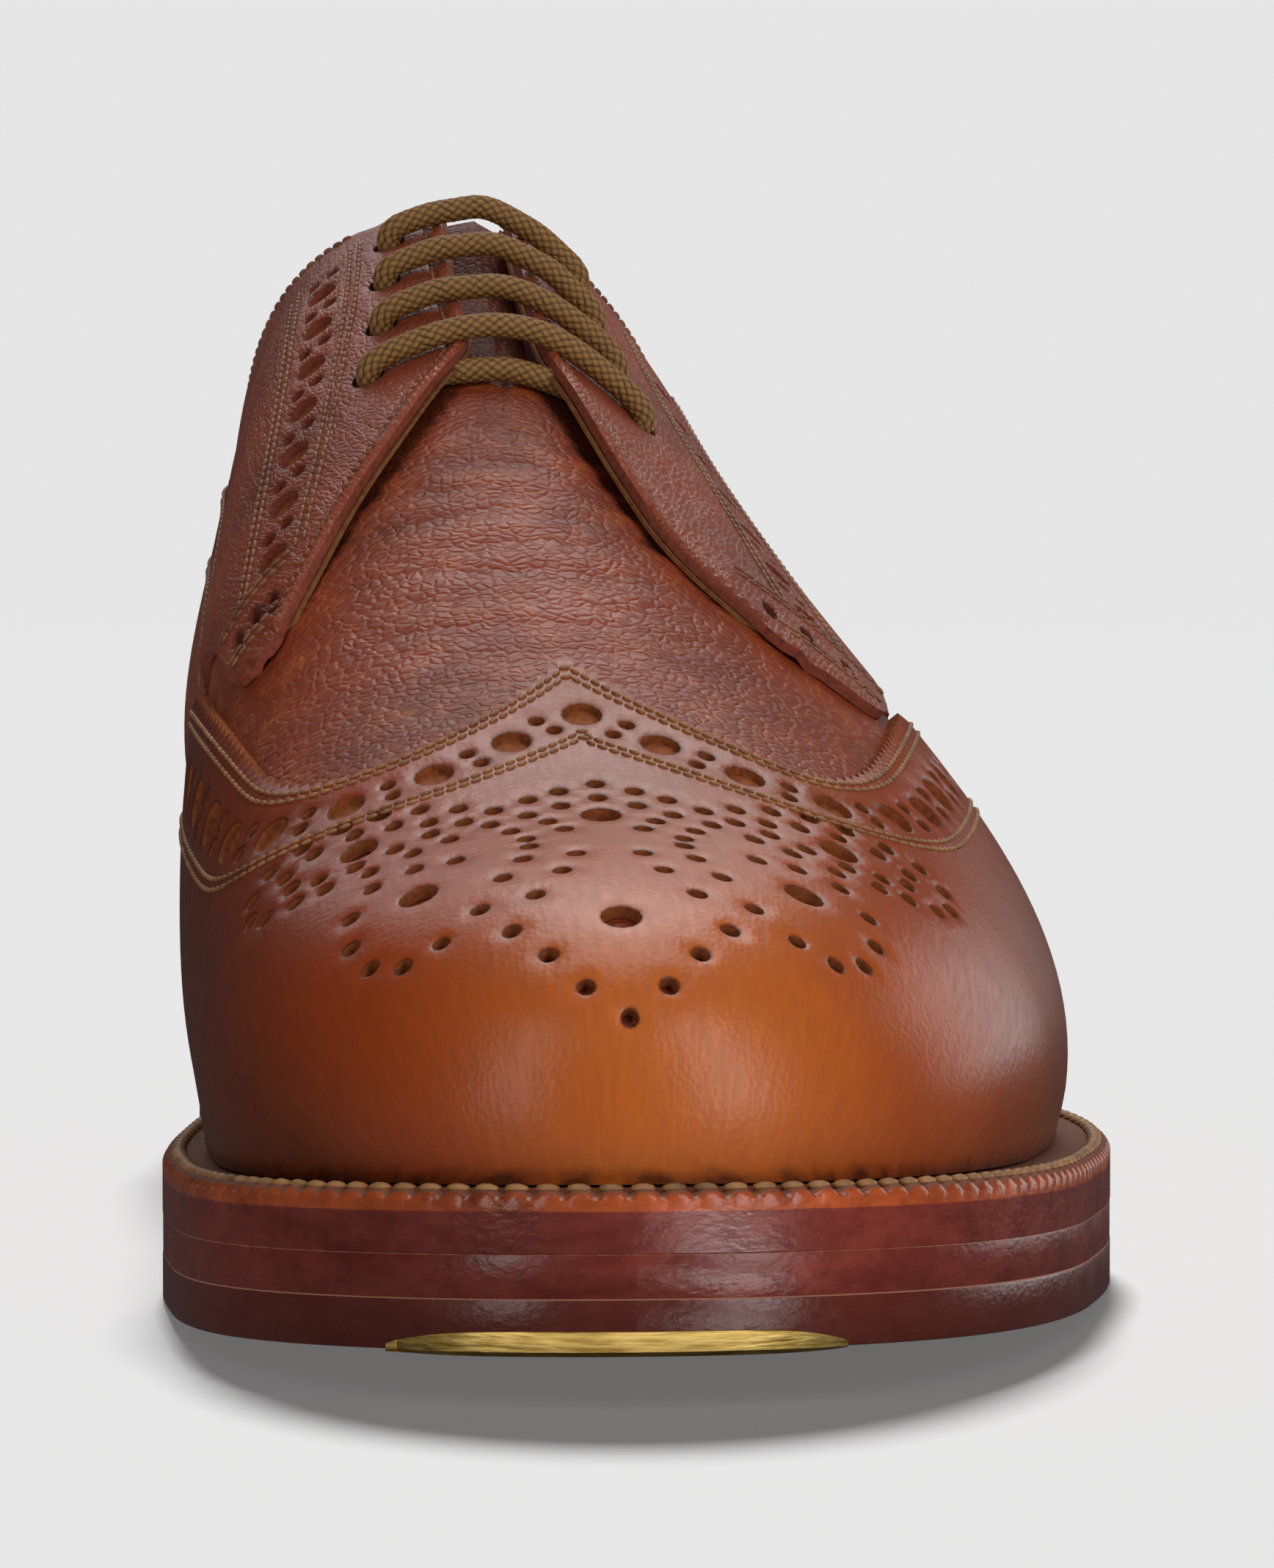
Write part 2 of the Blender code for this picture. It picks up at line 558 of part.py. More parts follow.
def add_upper():
    """Build the hollow upper, with the throat slit cut along the ridge behind the vamp."""
    closed = (station(LOOP) < TOP_FRONT) & (top_edge(LOOP)[:, 1] <= THROAT_S + 0.01)
    t = ROWS[None] * throat_top(LOOP)[:, None]
    a = np.broadcast_to(LOOP[:, None], t.shape)
    outer, inner = skin(a, t, BASE), skin(a, t, BASE - WALL)
    inner[:, 0, 2] = sole_bottom(inner[:, 0, 1]) + STACK + SEAT
    add_sheet('upper', outer, inner, VAMP_BROWN, ~closed, True)


def rows_between(a, low, up):
    """Return rows of t from a lower to an upper edge that follow the rows of the upper in between."""
    rows = np.clip(ROWS[None] * throat_top(a)[:, None], low[:, None], up[:, None])
    return np.column_stack([low, rows[:, 1:-1], up])


def wing_edge(count):
    """Return pattern points of the wing edge from its medial tail over the ridge to its lateral tail."""
    sides = []
    for side, rows in ((-1, WING_MEDIAL), (1, WING_LATERAL)):
        tail = pattern(loop_at([WING_TAIL], side), [TAIL_FOOT])[0]
        points = [(RIDGE_X(s) + side * d, s) for d, s in rows] + [tail]
        path = np.array(points, float)
        walked = np.concatenate([[0], np.cumsum(np.linalg.norm(np.diff(path, axis=0), axis=1))])
        table = np.column_stack([walked, path])
        u = walked[-1] * np.linspace(0, 1, count)
        sides.append(np.column_stack([spline(table, 1)(u), spline(table, 2)(u)]))
    return np.concatenate([sides[0][:0:-1], sides[1]])


def add_wing(half=24, columns=10):
    """Build the wing cap as a sheet between the feather edge and the wing edge on the pattern."""
    rim = wing_edge(half)
    fraction = np.linspace(0, 1, half)
    reach = loop_at([WING_TAIL], 1)[0]
    walk = reach * (0.6 * fraction + 0.4 * fraction ** 2)
    feet = np.concatenate([-walk[:0:-1], walk])
    foot = pattern(feet, 0 * feet + WING_FOOT)
    mix = np.linspace(0, 1, columns)[None, :, None]
    flat = foot[:, None] * (1 - mix) + rim[:, None] * mix
    a, t = from_pattern(flat.reshape(-1, 2))
    a, t = a.reshape(flat.shape[:2]), np.clip(t.reshape(flat.shape[:2]), WING_FOOT, 1)
    outer, inner = skin(a, t, OVERLAY_HIGH), skin(a, t, OVERLAY_LOW)
    add_sheet('wing_cap', outer, inner, CAP_TAN)


def wing_distance(s, side, samples=80):
    """Return how far from the ridge the wing edge passes a station behind the tabs."""
    rim = wing_edge(samples)
    rim = rim[samples:] if side > 0 else rim[:samples - 1][::-1]
    rear = rim[np.argmin(rim[:samples // 2, 1]):]
    return np.interp(s, rear[:, 1], np.abs(rear[:, 0] - RIDGE_X(rear[:, 1])))


def add_quarters():
    """Build the two facings with their quarters, above the wing and back to the heel seam."""
    for side, name in ((-1, 'quarter_medial'), (1, 'quarter_lateral')):
        a = side * HALF[station(HALF) > TAB_START]
        a[-1] = side * HEEL_SEAM
        s = station(a)
        up = np.ones(len(a))
        front = s < TOP_FRONT + 0.5
        which = 0 if side < 0 else 1
        up[front] = t_at_distance(a[front], FACING_EDGE[which](s[front]))
        reach = np.minimum(wing_distance(s, side) - WING_CLEAR, np.where(s < TAB[-1][0], TAB_EDGE[which](s), np.inf))
        low = np.where(s > WING_TAIL, SIDE_FOOT, np.maximum(t_at_distance(a, reach), SIDE_FOOT))
        t = rows_between(a, low, up)
        a = np.broadcast_to(a[:, None], t.shape)
        add_sheet(name, skin(a, t, OVERLAY_HIGH), skin(a, t, OVERLAY_LOW), QUARTER_BROWN)


def add_counter():
    half = HALF[station(HALF) > COUNTER[0][0]]
    a = np.concatenate([half, 2 - half[-2::-1]])
    up = t_at_height(a, COUNTER_Z(station(a)))
    t = rows_between(a, 0 * up + SIDE_FOOT, up)
    a = np.broadcast_to(a[:, None], t.shape)
    add_sheet('heel_counter', skin(a, t, COUNTER_HIGH), skin(a, t, COUNTER_LOW), COUNTER_BROWN)


def across(s, medial, lateral, heights, count):
    """Return points over the ridge at one station from the medial to the lateral side."""
    g = np.linspace(-medial, lateral, count)
    a = np.where(g < 0, loop_at(s, -1), loop_at(s, 1))
    t = t_at_distance(a, np.abs(g))
    return [skin(a, t, h) for h in heights]


def add_tongue():
    top = BASE - WALL - TONGUE_GAP
    rows = [across(s, half, half, (top, top - TONGUE_WALL), TONGUE_COLUMNS) for s, half in TONGUE]
    outer, inner = [np.stack([row[k] for row in rows]) for k in (0, 1)]
    add_sheet('tongue', outer, inner, COUNTER_BROWN)


def add_lace(name, s, medial, lateral, height):
    """Sweep a round cord over the facings at one station."""
    path = across(s, medial, lateral, (height,), LACE_STEPS + 1)[0]
    along = np.gradient(path, axis=0)
    along /= np.linalg.norm(along, axis=1, keepdims=True)
    side = np.cross(along, (0, 0, 1.0))
    side /= np.linalg.norm(side, axis=1, keepdims=True)
    up = np.cross(side, along)
    angle = np.linspace(0, 2 * np.pi, LACE_SIDES, endpoint=False)
    ring = np.cos(angle)[None, :, None] * side[:, None] + np.sin(angle)[None, :, None] * up[:, None]
    verts = (path[:, None] + LACE_RADIUS * ring).reshape(-1, 3)
    faces = []
    for i in range(LACE_STEPS):
        for k in range(LACE_SIDES):
            after = (k + 1) % LACE_SIDES
            faces.append((i * LACE_SIDES + k, i * LACE_SIDES + after,
                          (i + 1) * LACE_SIDES + after, (i + 1) * LACE_SIDES + k))
    faces.append(tuple(range(LACE_SIDES)))
    faces.append(tuple(LACE_STEPS * LACE_SIDES + k for k in range(LACE_SIDES))[::-1])
    add_solid(name, verts, faces, LACE_BRONZE)


def add_laces():
    over = OVERLAY_HIGH + SEAT + LACE_RADIUS
    for number, bar in enumerate(BARS, 1):
        add_lace('lace_bar_%d' % number, *bar, over)
    add_lace('lace_under_bar', *UNDER_BAR, BASE + SEAT + LACE_RADIUS)


add_toe_plate(add_soles())
add_heel()
add_upper()
add_wing()
add_quarters()
add_counter()
add_tongue()
add_laces()
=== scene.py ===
"""Left full brogue derby: burnished calf, pinked and punched overlays, braided laces, a stacked leather sole.

Lengths are millimetres until a mesh is made. s runs from the toe tip of the sole to the heel, x is medial
(minus) to lateral (plus), z is up. The parameter a walks round the shoe: 0 at the toe, minus on the medial
side, plus on the lateral side, -1 and 1 at the heel. The parameter t climbs the wall of the last from the
feather edge (0) to the ridge or topline (1).
"""
import json
import math

import bpy
import numpy as np
from bpy.props import FloatProperty, PointerProperty, StringProperty
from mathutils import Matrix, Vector
from mathutils.geometry import delaunay_2d_cdt

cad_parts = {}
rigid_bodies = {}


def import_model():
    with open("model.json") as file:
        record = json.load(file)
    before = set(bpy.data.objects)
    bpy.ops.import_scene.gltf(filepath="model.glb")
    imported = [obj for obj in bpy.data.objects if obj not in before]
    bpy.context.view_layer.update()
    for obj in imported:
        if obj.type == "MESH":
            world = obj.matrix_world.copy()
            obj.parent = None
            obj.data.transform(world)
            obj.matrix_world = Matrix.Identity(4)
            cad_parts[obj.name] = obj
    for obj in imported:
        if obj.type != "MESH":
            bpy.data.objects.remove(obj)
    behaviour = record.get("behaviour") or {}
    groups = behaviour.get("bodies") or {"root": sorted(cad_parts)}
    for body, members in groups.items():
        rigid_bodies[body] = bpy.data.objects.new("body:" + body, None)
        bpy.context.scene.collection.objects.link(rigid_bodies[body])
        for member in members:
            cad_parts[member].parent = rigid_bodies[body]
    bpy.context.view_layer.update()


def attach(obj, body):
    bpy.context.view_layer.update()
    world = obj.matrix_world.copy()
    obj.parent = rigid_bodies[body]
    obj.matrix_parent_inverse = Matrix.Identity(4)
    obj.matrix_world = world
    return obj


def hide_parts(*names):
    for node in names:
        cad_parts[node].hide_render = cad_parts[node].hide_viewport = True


bl_info = {
    "name": "Full Brogue Derby",
    "version": (1, 0, 0),
    "blender": (4, 5, 0),
    "location": "3D View > Sidebar > Brogue",
    "description": "Builds the looks of a full brogue derby on its last",
    "category": "Object",
}

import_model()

MM = 0.001
SOLE_LENGTH = 306.0
CENTRE_X = -0.387
SHIFT = np.array((CENTRE_X, SOLE_LENGTH / 2, 0.0))
OUTSOLE, MIDSOLE, WELT = 5.4, 4.6, 6.8
STACK = OUTSOLE + MIDSOLE + WELT
SEAT = 0.3
TOE_SPRING, SPRING_START, SPRING_POWER = 5.7, 95.0, 1.4
HEEL_HEIGHT, WAIST_START, WAIST_END = 26.0, 128.0, 236.0
TOE_S, HEEL_S, HEEL_TURN = 8.0, 301.0, 41.0
TOE_X, HEEL_X = -8.0, -16.0
TOE_ROUND, HEEL_ROUND, COLLAR_ROUND = 60.0, 40.0, 34.0
RIDGE_S, FAN_END, THROAT_S = 38.0, 100.0, 140.0
TOP_FRONT, TOP_BACK, TOP_X = 186.0, 291.0, -15.4
SLIT = 5.0
WALL = 2.0
SPLINE_STEP = 0.02

# station, medial x, lateral x of the feather edge
FEATHER = ((8, -49.2, 34.5), (30, -49.3, 35), (60, -48.5, 38.5), (90, -49.3, 45), (112, -48, 47.5),
           (135, -45.3, 45), (160, -42, 38), (185, -40.6, 29), (210, -41.8, 21), (235, -44.6, 15.8),
           (260, -46.5, 14.6), (301.5, -46.9, 14.6))
# station, medial, lateral welt margin outside the feather edge
MARGIN = ((8, 8, 8), (60, 6.7, 8), (100, 6.8, 8.2), (150, 5.3, 6.6), (200, 4.5, 4.6), (250, 4.4, 4.4),
          (301.5, 5.05, 5.05))
# station, x, z of the ridge from toe to throat, and on over the open collar
RIDGE = ((30, -8, 50.3), (38, -7.9, 52.4), (55, -7.7, 56.3), (75, -8.2, 63.2), (90, -9.4, 70.6),
         (105, -11, 80.5), (120, -12.6, 91.3), (135, -13.7, 101.5), (150, -14.2, 109.8),
         (165, -14.6, 117.2), (186, -15.4, 126), (200, -15.9, 129.5), (220, -16.4, 131))
# station, medial, lateral half width and height of the topline
TOPLINE = ((186, 3, 3, 126), (190, 14, 9, 123.3), (196, 20, 16, 117.5), (204, 23.5, 21.5, 109),
           (215, 25.2, 25, 101.5), (230, 26, 27.5, 96.5), (247, 26.2, 28.5, 95.5), (266, 26, 28, 98.5),
           (291, 25.5, 27, 105))
# station, then medial and lateral: wall handle, top handle, flare, tilt of the wall at the ridge
ARCH = ((8, .62, .62, .60, .60, 3, 3, 0, 0), (40, .66, .60, .65, .60, 8, 8, 0, 0),
        (90, .75, .53, .85, .57, 9.8, 10, 0, 0), (120, .75, .42, .95, .43, 12.8, 8, 0, 4),
        (150, .75, .33, .95, .34, 14, 6, 2, 14), (170, .74, .32, .90, .32, 12, 5.5, 5, 23),
        (186, .70, .33, .78, .33, 8.5, 5, 9, 26), (220, .66, .34, .72, .33, 7, 5, 12, 28))
# the same columns for the walls under the topline
REAR = ((190, .66, .34, .36, .26, 7.5, 5, 22, 40), (196, .56, .35, .25, .26, 6.5, 5, 44, 52),
        (204, .48, .35, .24, .28, 6, 5, 61, 64), (215, .42, .35, .30, .32, 6, 5.5, 73, 74),
        (230, .39, .36, .35, .35, 5.8, 6, 80, 80), (260, .36, .36, .36, .36, 6, 6.5, 84, 84),
        (301.5, .36, .36, .36, .36, 7, 7, 82, 82))
REAR_START, REAR_END = 191.0, 222.0
# distance from the ridge line and station of the wing edge on the flattened pattern, each side
WING_MEDIAL = ((0, 93), (7, 86.3), (14.5, 80.6), (21.5, 77.2), (27.5, 76.8), (33.5, 80.5), (38, 91),
               (42, 103.4), (48, 118), (60, 140), (78, 165))
WING_LATERAL = ((0, 93), (7, 86), (13.5, 81.3), (20, 78), (26, 77.3), (31, 81), (38, 92.6),
                (46, 108), (55, 124), (68, 145), (84, 168))
WING_TAIL = 187.0
# station, medial, lateral distance of the facing edge from the ridge
FACING = ((107, 33.5, 31), (113.5, 27, 20), (122, 19.8, 13.2), (130, 13, 9.2), (138, 7.6, 6.2),
          (145, 4.1, 4.3), (152, 3.9, 3.9), (187, 3.9, 3.9))
# station, medial, lateral distance of the tab's outer edge from the ridge, until it meets the wing
TAB = ((107, 39.5, 43.5), (112, 40.5, 46.2), (118, 42.3, 50), (126, 46, 56.5), (134, 52.5, 64), (140, 59, 72),
       (146, 68, 82))
TAB_START = 107.0
# station of each stitched bar across a tab, and its bow
TAB_BARS, TAB_BOW = (109.6, 110.9, 117.2, 118.5), 1.2
# station and share across the tab of its slots
TAB_SLOTS = ((113.6, 0.34), (114.2, 0.55), (113.8, 0.76))
# station and height of the counter's upper edge
COUNTER = ((202, 41), (210, 52), (222, 68), (240, 84), (262, 90), (301.5, 92))
# station, medial, lateral reach from the ridge of each lace bar
BARS = ((145, 16.2, 18.6), (156, 13.8, 16.4), (167.5, 12.6, 14.8), (179, 11.2, 14))
UNDER_BAR = (141.5, 9.0, 9.0)
# share of the way to the eyelet and height over the facing, along the medial half of a lace bar
LACE_HALF = ((-1, -3.2), (-1, -1.4), (-0.98, 0.35), (-0.9, 1.35), (-0.72, 1.75), (-0.45, 1.8), (-0.2, 1.75),
             (0, 1.7))
LACE_CLEAR = 0.1
# station and half width of the tongue
TONGUE = ((126, 16), (133, 20), (140, 22), (147, 22), (154, 22), (161, 21.5), (168, 21), (175, 20.5),
          (180, 19), (185.5, 16))
# station, medial, lateral distance from the ridge of the punched strip on each facing
STRIP = ((119.5, 31.7, 37.6), (135, 27.5, 35.5), (150, 24.5, 33.5), (165, 22, 31), (184, 20, 29))
# height of the rolled facing edge and depth of the groove behind it, each at a distance from the edge
ROLL, ROLL_AT, ROLL_WIDE = 0.4, 0.9, 0.75
GROOVE, GROOVE_AT, GROOVE_WIDE = 0.35, 2.4, 0.5
# depth of each stitch row inside a pinked edge, and height of the raw leather under the large holes
BAND_ROWS = (1.4, 2.55, 11.4, 12.55)
BACKING = 0.45
# station and height that each facing stands off the vamp along its front edge
STAND_OFF = ((107, 0.2), (116, 1.0), (126, 2.2), (137, 3.0), (146, 2.2), (158, 1.2), (172, 0.6), (187, 0.4))
# distance from the toe axis and station of the medallion's holes on the flattened pattern
MEDALLION_LARGE = ((0, 22.7), (0, 55.1), (21.2, 37.3), (26.9, 56.6))
MEDALLION_SMALL = ((0, 7.3), (4.7, 11.4), (8.4, 16.8), (12, 22.4), (15, 28.8), (8.8, 29.6), (11.9, 35.9),
                   (5.5, 35.8), (9.4, 41), (3.6, 41.2), (19.7, 24.7), (24.4, 23.9), (28, 27), (29.6, 32.7),
                   (29, 39), (26, 44.2), (21.1, 45.3), (16.5, 44.6), (8.4, 45.2), (4.3, 50.5), (5.9, 53.5),
                   (8, 56.1), (4.2, 58.4), (0, 60.6), (8.6, 48), (10.1, 51.3), (12.2, 54.4), (11.6, 58.6),
                   (7.7, 60.8), (4.2, 62.7), (0, 64.6), (15, 56.5), (18.8, 54.9), (22.9, 53.3), (27.5, 52.3),
                   (31.8, 53.9), (35.2, 56.3), (35.8, 60), (32, 61.3), (27.2, 61.2), (22.7, 60), (18.8, 58.4),
                   (16.8, 52), (21, 50.5), (26, 49.1), (31.2, 50.4), (35, 52), (39, 54.4), (41.1, 57.7),
                   (40.5, 61.8), (37.6, 64.3), (33.3, 64.4), (28.4, 64.2), (24, 63.9), (19.6, 62.6),
                   (15.4, 60.7))
# station on the ridge, bow, depth, half width, wave phase and half reach of each walking crease
CREASES = ((95, 7, .08, 1.3, 0.3, 26), (99.5, 6, .12, 1.4, 1.7, 30), (104, 5, .11, 1.3, 3.1, 26),
           (108.5, 4, .18, 1.6, 4.4, 30), (113, 4, .14, 1.3, 0.9, 26), (117.5, 3, .20, 1.6, 2.2, 28),
           (122, 2, .16, 1.3, 5.0, 24), (126, 2, .20, 1.4, 3.6, 20), (130, 1, .16, 1.2, 0.1, 16),
           (134, 1, .14, 1.1, 2.8, 12))
HEEL_BREAST, TOP_PIECE = 239.0, 6.0
# height and inset of the heel stack's layered profile
HEEL_PROFILE = ((6.3, 1.3), (12.4, 1.2), (12.7, 1.6), (13.0, 1.2), (18.9, 1.0), (19.2, 1.4), (19.5, 1.0),
                (25.7, 0.7))
PLATE_X, PLATE_HALF, PLATE_BACK, PLATE_TOP, PLATE_PROUD = -9.5, 24.1, 9.0, 2.2, 0.6
VAMP_SKIN = -0.1
OVERLAY_LOW, OVERLAY_HIGH = 0.0, 1.6
COUNTER_LOW, COUNTER_HIGH = 1.7, 3.0
SHOULDER, HOLE_DIP = 0.35, 0.18
# the upper's sink under the last, stitch lift, disc overlap under a hole, distance of points on a side sheet
UPPER_SINK, STITCH_LIFT, DISC_WIDER, SIDE_STEP = 0.6, 0.05, 0.05, 2.3
# where a side piece ends at the heel seam, as a, and at the feather edge, as t
SEAM_A, FOOT_T = 0.9985, 0.012
# x of the middle of the tan on the toe, 4 mm to the lateral side of the toe axis: the medial flank comes
# darker and nearer the middle than the lateral one, which is painted shade on top of the burnish
TAN_AXIS = -4.0
# share of its own grey that the paper gives off under the shoe, and strength of the light all round
FLOOR_GLOW, WORLD_GLOW = 0.17, 0.06
# size of the paper, height and bend of its sweep, its place, and reach of the lit floor, all in metres
PAPER, BACKDROP_TOP, SWEEP, PAPER_PLACE = 12.0, 0.9, 0.8, (0.0, -1.4, 0.0)
LIT_FROM, LIT_TO = 0.8, 2.2
# lamps in metres: name, place, aim, size or angle, power and what it lights
CENTRE, STRIP_AIM = (0.0, -0.02, 0.06), (0.0, -0.1, 0.75)
LAMPS = (("overhead softbox", (0.1, 0.6, 1.5), CENTRE, (0.8, 1.2), 9.8, "shoe"),
         ("rear softbox", (-0.05, 1.15, 0.95), CENTRE, (1.1, 1.0), 3.3, "shoe"),
         ("right rear softbox", (1.3, 1.1, 0.45), CENTRE, (1.0, 0.9), 4.2, "shoe"),
         ("floor wash", (0.1, 3.2, 3.1), CENTRE, math.radians(11.5), 3.9, "paper"),
         ("left strip softbox", (-0.78, -1.0, 0.95), STRIP_AIM, (0.3, 1.7), 6, "shoe"),
         ("right strip softbox", (0.75, -0.95, 0.95), STRIP_AIM, (0.5, 1.7), 12.5, "shoe"),
         ("floor bounce", (0.0, -0.235, 0.003), (0.0, -0.235, 1.0), (0.36, 0.14), 0.24, "plate"),
         ("floor glint", (0.035, -0.245, 0.002), (0.035, -0.245, 1.0), (0.026, 0.14), 0.13, "sole edge"))
# the fitted camera: focal length and sensor in millimetres, place in metres and the way it looks
CAMERA_LENS, CAMERA_SENSOR = 168.3, 36.0
CAMERA_PLACE, CAMERA_LOOK = (-0.0619, -0.903, 0.109), (0.0724, 1.0, -0.0595)
ROOT = "root"


def spline(rows, column):
    """Return a natural cubic spline through one column of a table, held flat outside it."""
    x = np.array([row[0] for row in rows], float)
    y = np.array([row[column] for row in rows], float)
    count = len(x)
    step = np.diff(x)
    matrix = np.zeros((count, count))
    right = np.zeros(count)
    matrix[0, 0] = matrix[-1, -1] = 1
    for i in range(1, count - 1):
        matrix[i, i - 1:i + 2] = step[i - 1], 2 * (step[i - 1] + step[i]), step[i]
        right[i] = 6 * ((y[i + 1] - y[i]) / step[i] - (y[i] - y[i - 1]) / step[i - 1])
    bend = np.linalg.solve(matrix, right)

    s = np.linspace(x[0], x[-1], int((x[-1] - x[0]) / SPLINE_STEP) + 2)
    i = np.clip(np.searchsorted(x, s) - 1, 0, count - 2)
    after, before, h = x[i + 1] - s, s - x[i], step[i]
    cubic = (bend[i] * after ** 3 + bend[i + 1] * before ** 3) / (6 * h)
    value = cubic + (y[i] / h - bend[i] * h / 6) * after + (y[i + 1] / h - bend[i + 1] * h / 6) * before
    return lambda at: np.interp(at, s, value)


def pair(rows, column):
    """Return splines of a medial column and the lateral one after it."""
    return spline(rows, column), spline(rows, column + 1)


FEATHER_X = pair(FEATHER, 1)
WELT_MARGIN = pair(MARGIN, 1)
RIDGE_X, RIDGE_Z = pair(RIDGE, 1)
TOP_SQUARE = pair([(row[0], row[1] ** 2, row[2] ** 2) for row in TOPLINE], 1)
TOP_Z = spline(TOPLINE, 3)
ARCH_SHAPE = [pair(ARCH, column) for column in (1, 3, 5, 7)]
REAR_SHAPE = [pair(REAR, column) for column in (1, 3, 5, 7)]
FACING_EDGE = pair(FACING, 1)
TAB_EDGE = pair(TAB, 1)
COUNTER_Z = spline(COUNTER, 1)
STRIP_DISTANCE = pair(STRIP, 1)
STAND = spline(STAND_OFF, 1)


def smoothstep(x):
    x = np.clip(x, 0, 1)
    return x * x * (3 - 2 * x)


def round_end(x):
    """Quarter ellipse from 0 at x = 0 to 1 at x = 1."""
    return np.sqrt(1 - (1 - np.clip(x, 0, 1)) ** 2)


def sole_bottom(s):
    spring = TOE_SPRING * np.clip((SPRING_START - s) / SPRING_START, 0, None) ** SPRING_POWER
    return spring + HEEL_HEIGHT * smoothstep((s - WAIST_START) / (WAIST_END - WAIST_START))


def wrap(a):
    """Return the walk parameter between -1 and 1."""
    return (np.asarray(a, float) + 1) % 2 - 1


def station(a):
    """Return the station of a walk parameter."""
    return TOE_S + (HEEL_S - TOE_S) * (1 - np.cos(np.pi * np.abs(wrap(a)))) / 2


def loop_at(s, side):
    """Return the walk parameter of a station on one side."""
    return side * np.arccos(np.clip(1 - 2 * (np.asarray(s, float) - TOE_S) / (HEEL_S - TOE_S), -1, 1)) / np.pi


def heel_stations(start, step, count):
    """Return stations from a start to the back of the heel, closer together where the heel turns."""
    turn = HEEL_S - HEEL_TURN * (1 - np.sin(np.linspace(0, np.pi / 2, count)))
    return np.concatenate([np.arange(start, HEEL_S - HEEL_TURN, step), turn])


def pick(a, both, s):
    """Return a table's values on the side of each line."""
    return np.where(wrap(a) < 0, both[0](s), both[1](s))


def feather_plan(a):
    """Return plan points of the edge where the upper meets the welt."""
    s = station(a)
    middle = TOE_X + (HEEL_X - TOE_X) * smoothstep((s - 40) / 220)
    ends = round_end((s - TOE_S) / TOE_ROUND) * round_end((HEEL_S - s) / HEEL_ROUND)
    return np.stack([middle + (pick(a, FEATHER_X, s) - middle) * ends, s], -1)


def plan_normals(a, e=1e-4):
    """Return the normals of the feather edge in plan."""
    d = feather_plan(a + e) - feather_plan(a - e)
    return np.column_stack([d[:, 1], -d[:, 0]]) / np.linalg.norm(d, axis=1, keepdims=True)


PLAN_A = np.linspace(-1, 1, 8001)
PLAN_X = feather_plan(PLAN_A)[:, 0]
PLAN_NORMAL = plan_normals(PLAN_A)


def feather(a):
    """Return points of the edge where the upper meets the welt."""
    s = station(a)
    return np.stack([np.interp(wrap(a), PLAN_A, PLAN_X), s, sole_bottom(s) + STACK], -1)


def outward(a):
    """Return the plan normal of the feather edge."""
    a = wrap(a)
    x, y = [np.interp(a, PLAN_A, PLAN_NORMAL[:, k]) for k in (0, 1)]
    return np.stack([x, y, 0 * a], -1)


def edge(a, inset=0.0):
    """Return plan points of the sole edge, moved in by an inset."""
    margin = pick(a, WELT_MARGIN, station(a)) - inset
    return (feather(a) + outward(a) * margin[..., None])[..., :2]


def inside(a, inset):
    """Return plan points inside the feather edge."""
    return (feather(a) - outward(a) * inset)[..., :2]


def ridge_top(a):
    """Return the ridge point over each line; lines fan out round the toe."""
    s = station(a)
    st = s + (RIDGE_S - TOE_S) * np.clip(1 - (s - TOE_S) / (FAN_END - TOE_S), 0, 1) ** 2
    return np.stack([RIDGE_X(st), st, RIDGE_Z(st)], -1)


def topline(a):
    """Return the collar point over each line behind the throat."""
    s = station(a)
    st = s - (HEEL_S - TOP_BACK) * np.clip((s - TOP_FRONT) / (HEEL_S - TOP_FRONT), 0, 1) ** 2
    side = np.where(wrap(a) < 0, -1, 1)
    centre = TOP_X + (HEEL_X - TOP_X) * smoothstep((st - TOP_FRONT) / 64)
    half = np.sqrt(np.clip(pick(a, TOP_SQUARE, st), 0, None)) * round_end((TOP_BACK - st) / COLLAR_ROUND)
    return np.stack([centre + side * half, st, TOP_Z(st)], -1)


def ridge_slope(s, e=0.5):
    """Return how steeply the ridge rises."""
    return (RIDGE_Z(s + e) - RIDGE_Z(s - e)) / (2 * e)


def climb(a, t, top, shape, slope):
    """Return points of one cubic curve per line from the feather edge to a top point."""
    s = station(a)
    foot = feather(a)
    wall_handle, top_handle, flare, tilt = [pick(a, both, s) for both in shape]
    tilt = np.radians(np.clip(tilt, 0, 89))
    run = top - foot
    rise = run[..., 2]
    flat_run = run * (1, 1, 0)
    reach = np.linalg.norm(flat_run, axis=-1)
    heading = flat_run / np.maximum(reach, 1e-9)[..., None]
    up = np.array((0, 0, 1.0))
    lean = slope * heading[..., 1]
    tangent = heading * np.cos(tilt)[..., None] + up * (np.sin(tilt) + lean * np.cos(tilt))[..., None]
    grip = top_handle * (reach * np.cos(tilt) + rise * np.sin(tilt))
    low = foot + outward(a) * flare[..., None] + up * (wall_handle * rise)[..., None]
    high = top - tangent * grip[..., None]
    t = t[..., None]
    return foot * (1 - t) ** 3 + 3 * low * t * (1 - t) ** 2 + 3 * high * t * t * (1 - t) + top * t ** 3


def arch(a, t):
    """Return points of the wall as if it closed along the ridge."""
    top = ridge_top(a)
    return climb(a, t, top, ARCH_SHAPE, ridge_slope(top[..., 1]))


def collar_cut(side, samples=60):
    """Return stations behind the throat and the t where the topline cuts the arch there."""
    s = TOP_FRONT + (REAR_END - TOP_FRONT) * np.linspace(0, 1, samples) ** 2
    t = np.linspace(0, 1, 400)
    grid = (samples, len(t))
    z = arch(np.broadcast_to(loop_at(s, side)[:, None], grid), np.broadcast_to(t, grid))[..., 2]
    return s, np.array([np.interp(h, row, t) for h, row in zip(TOP_Z(s), z)])


COLLAR_CUT = collar_cut(-1), collar_cut(1)


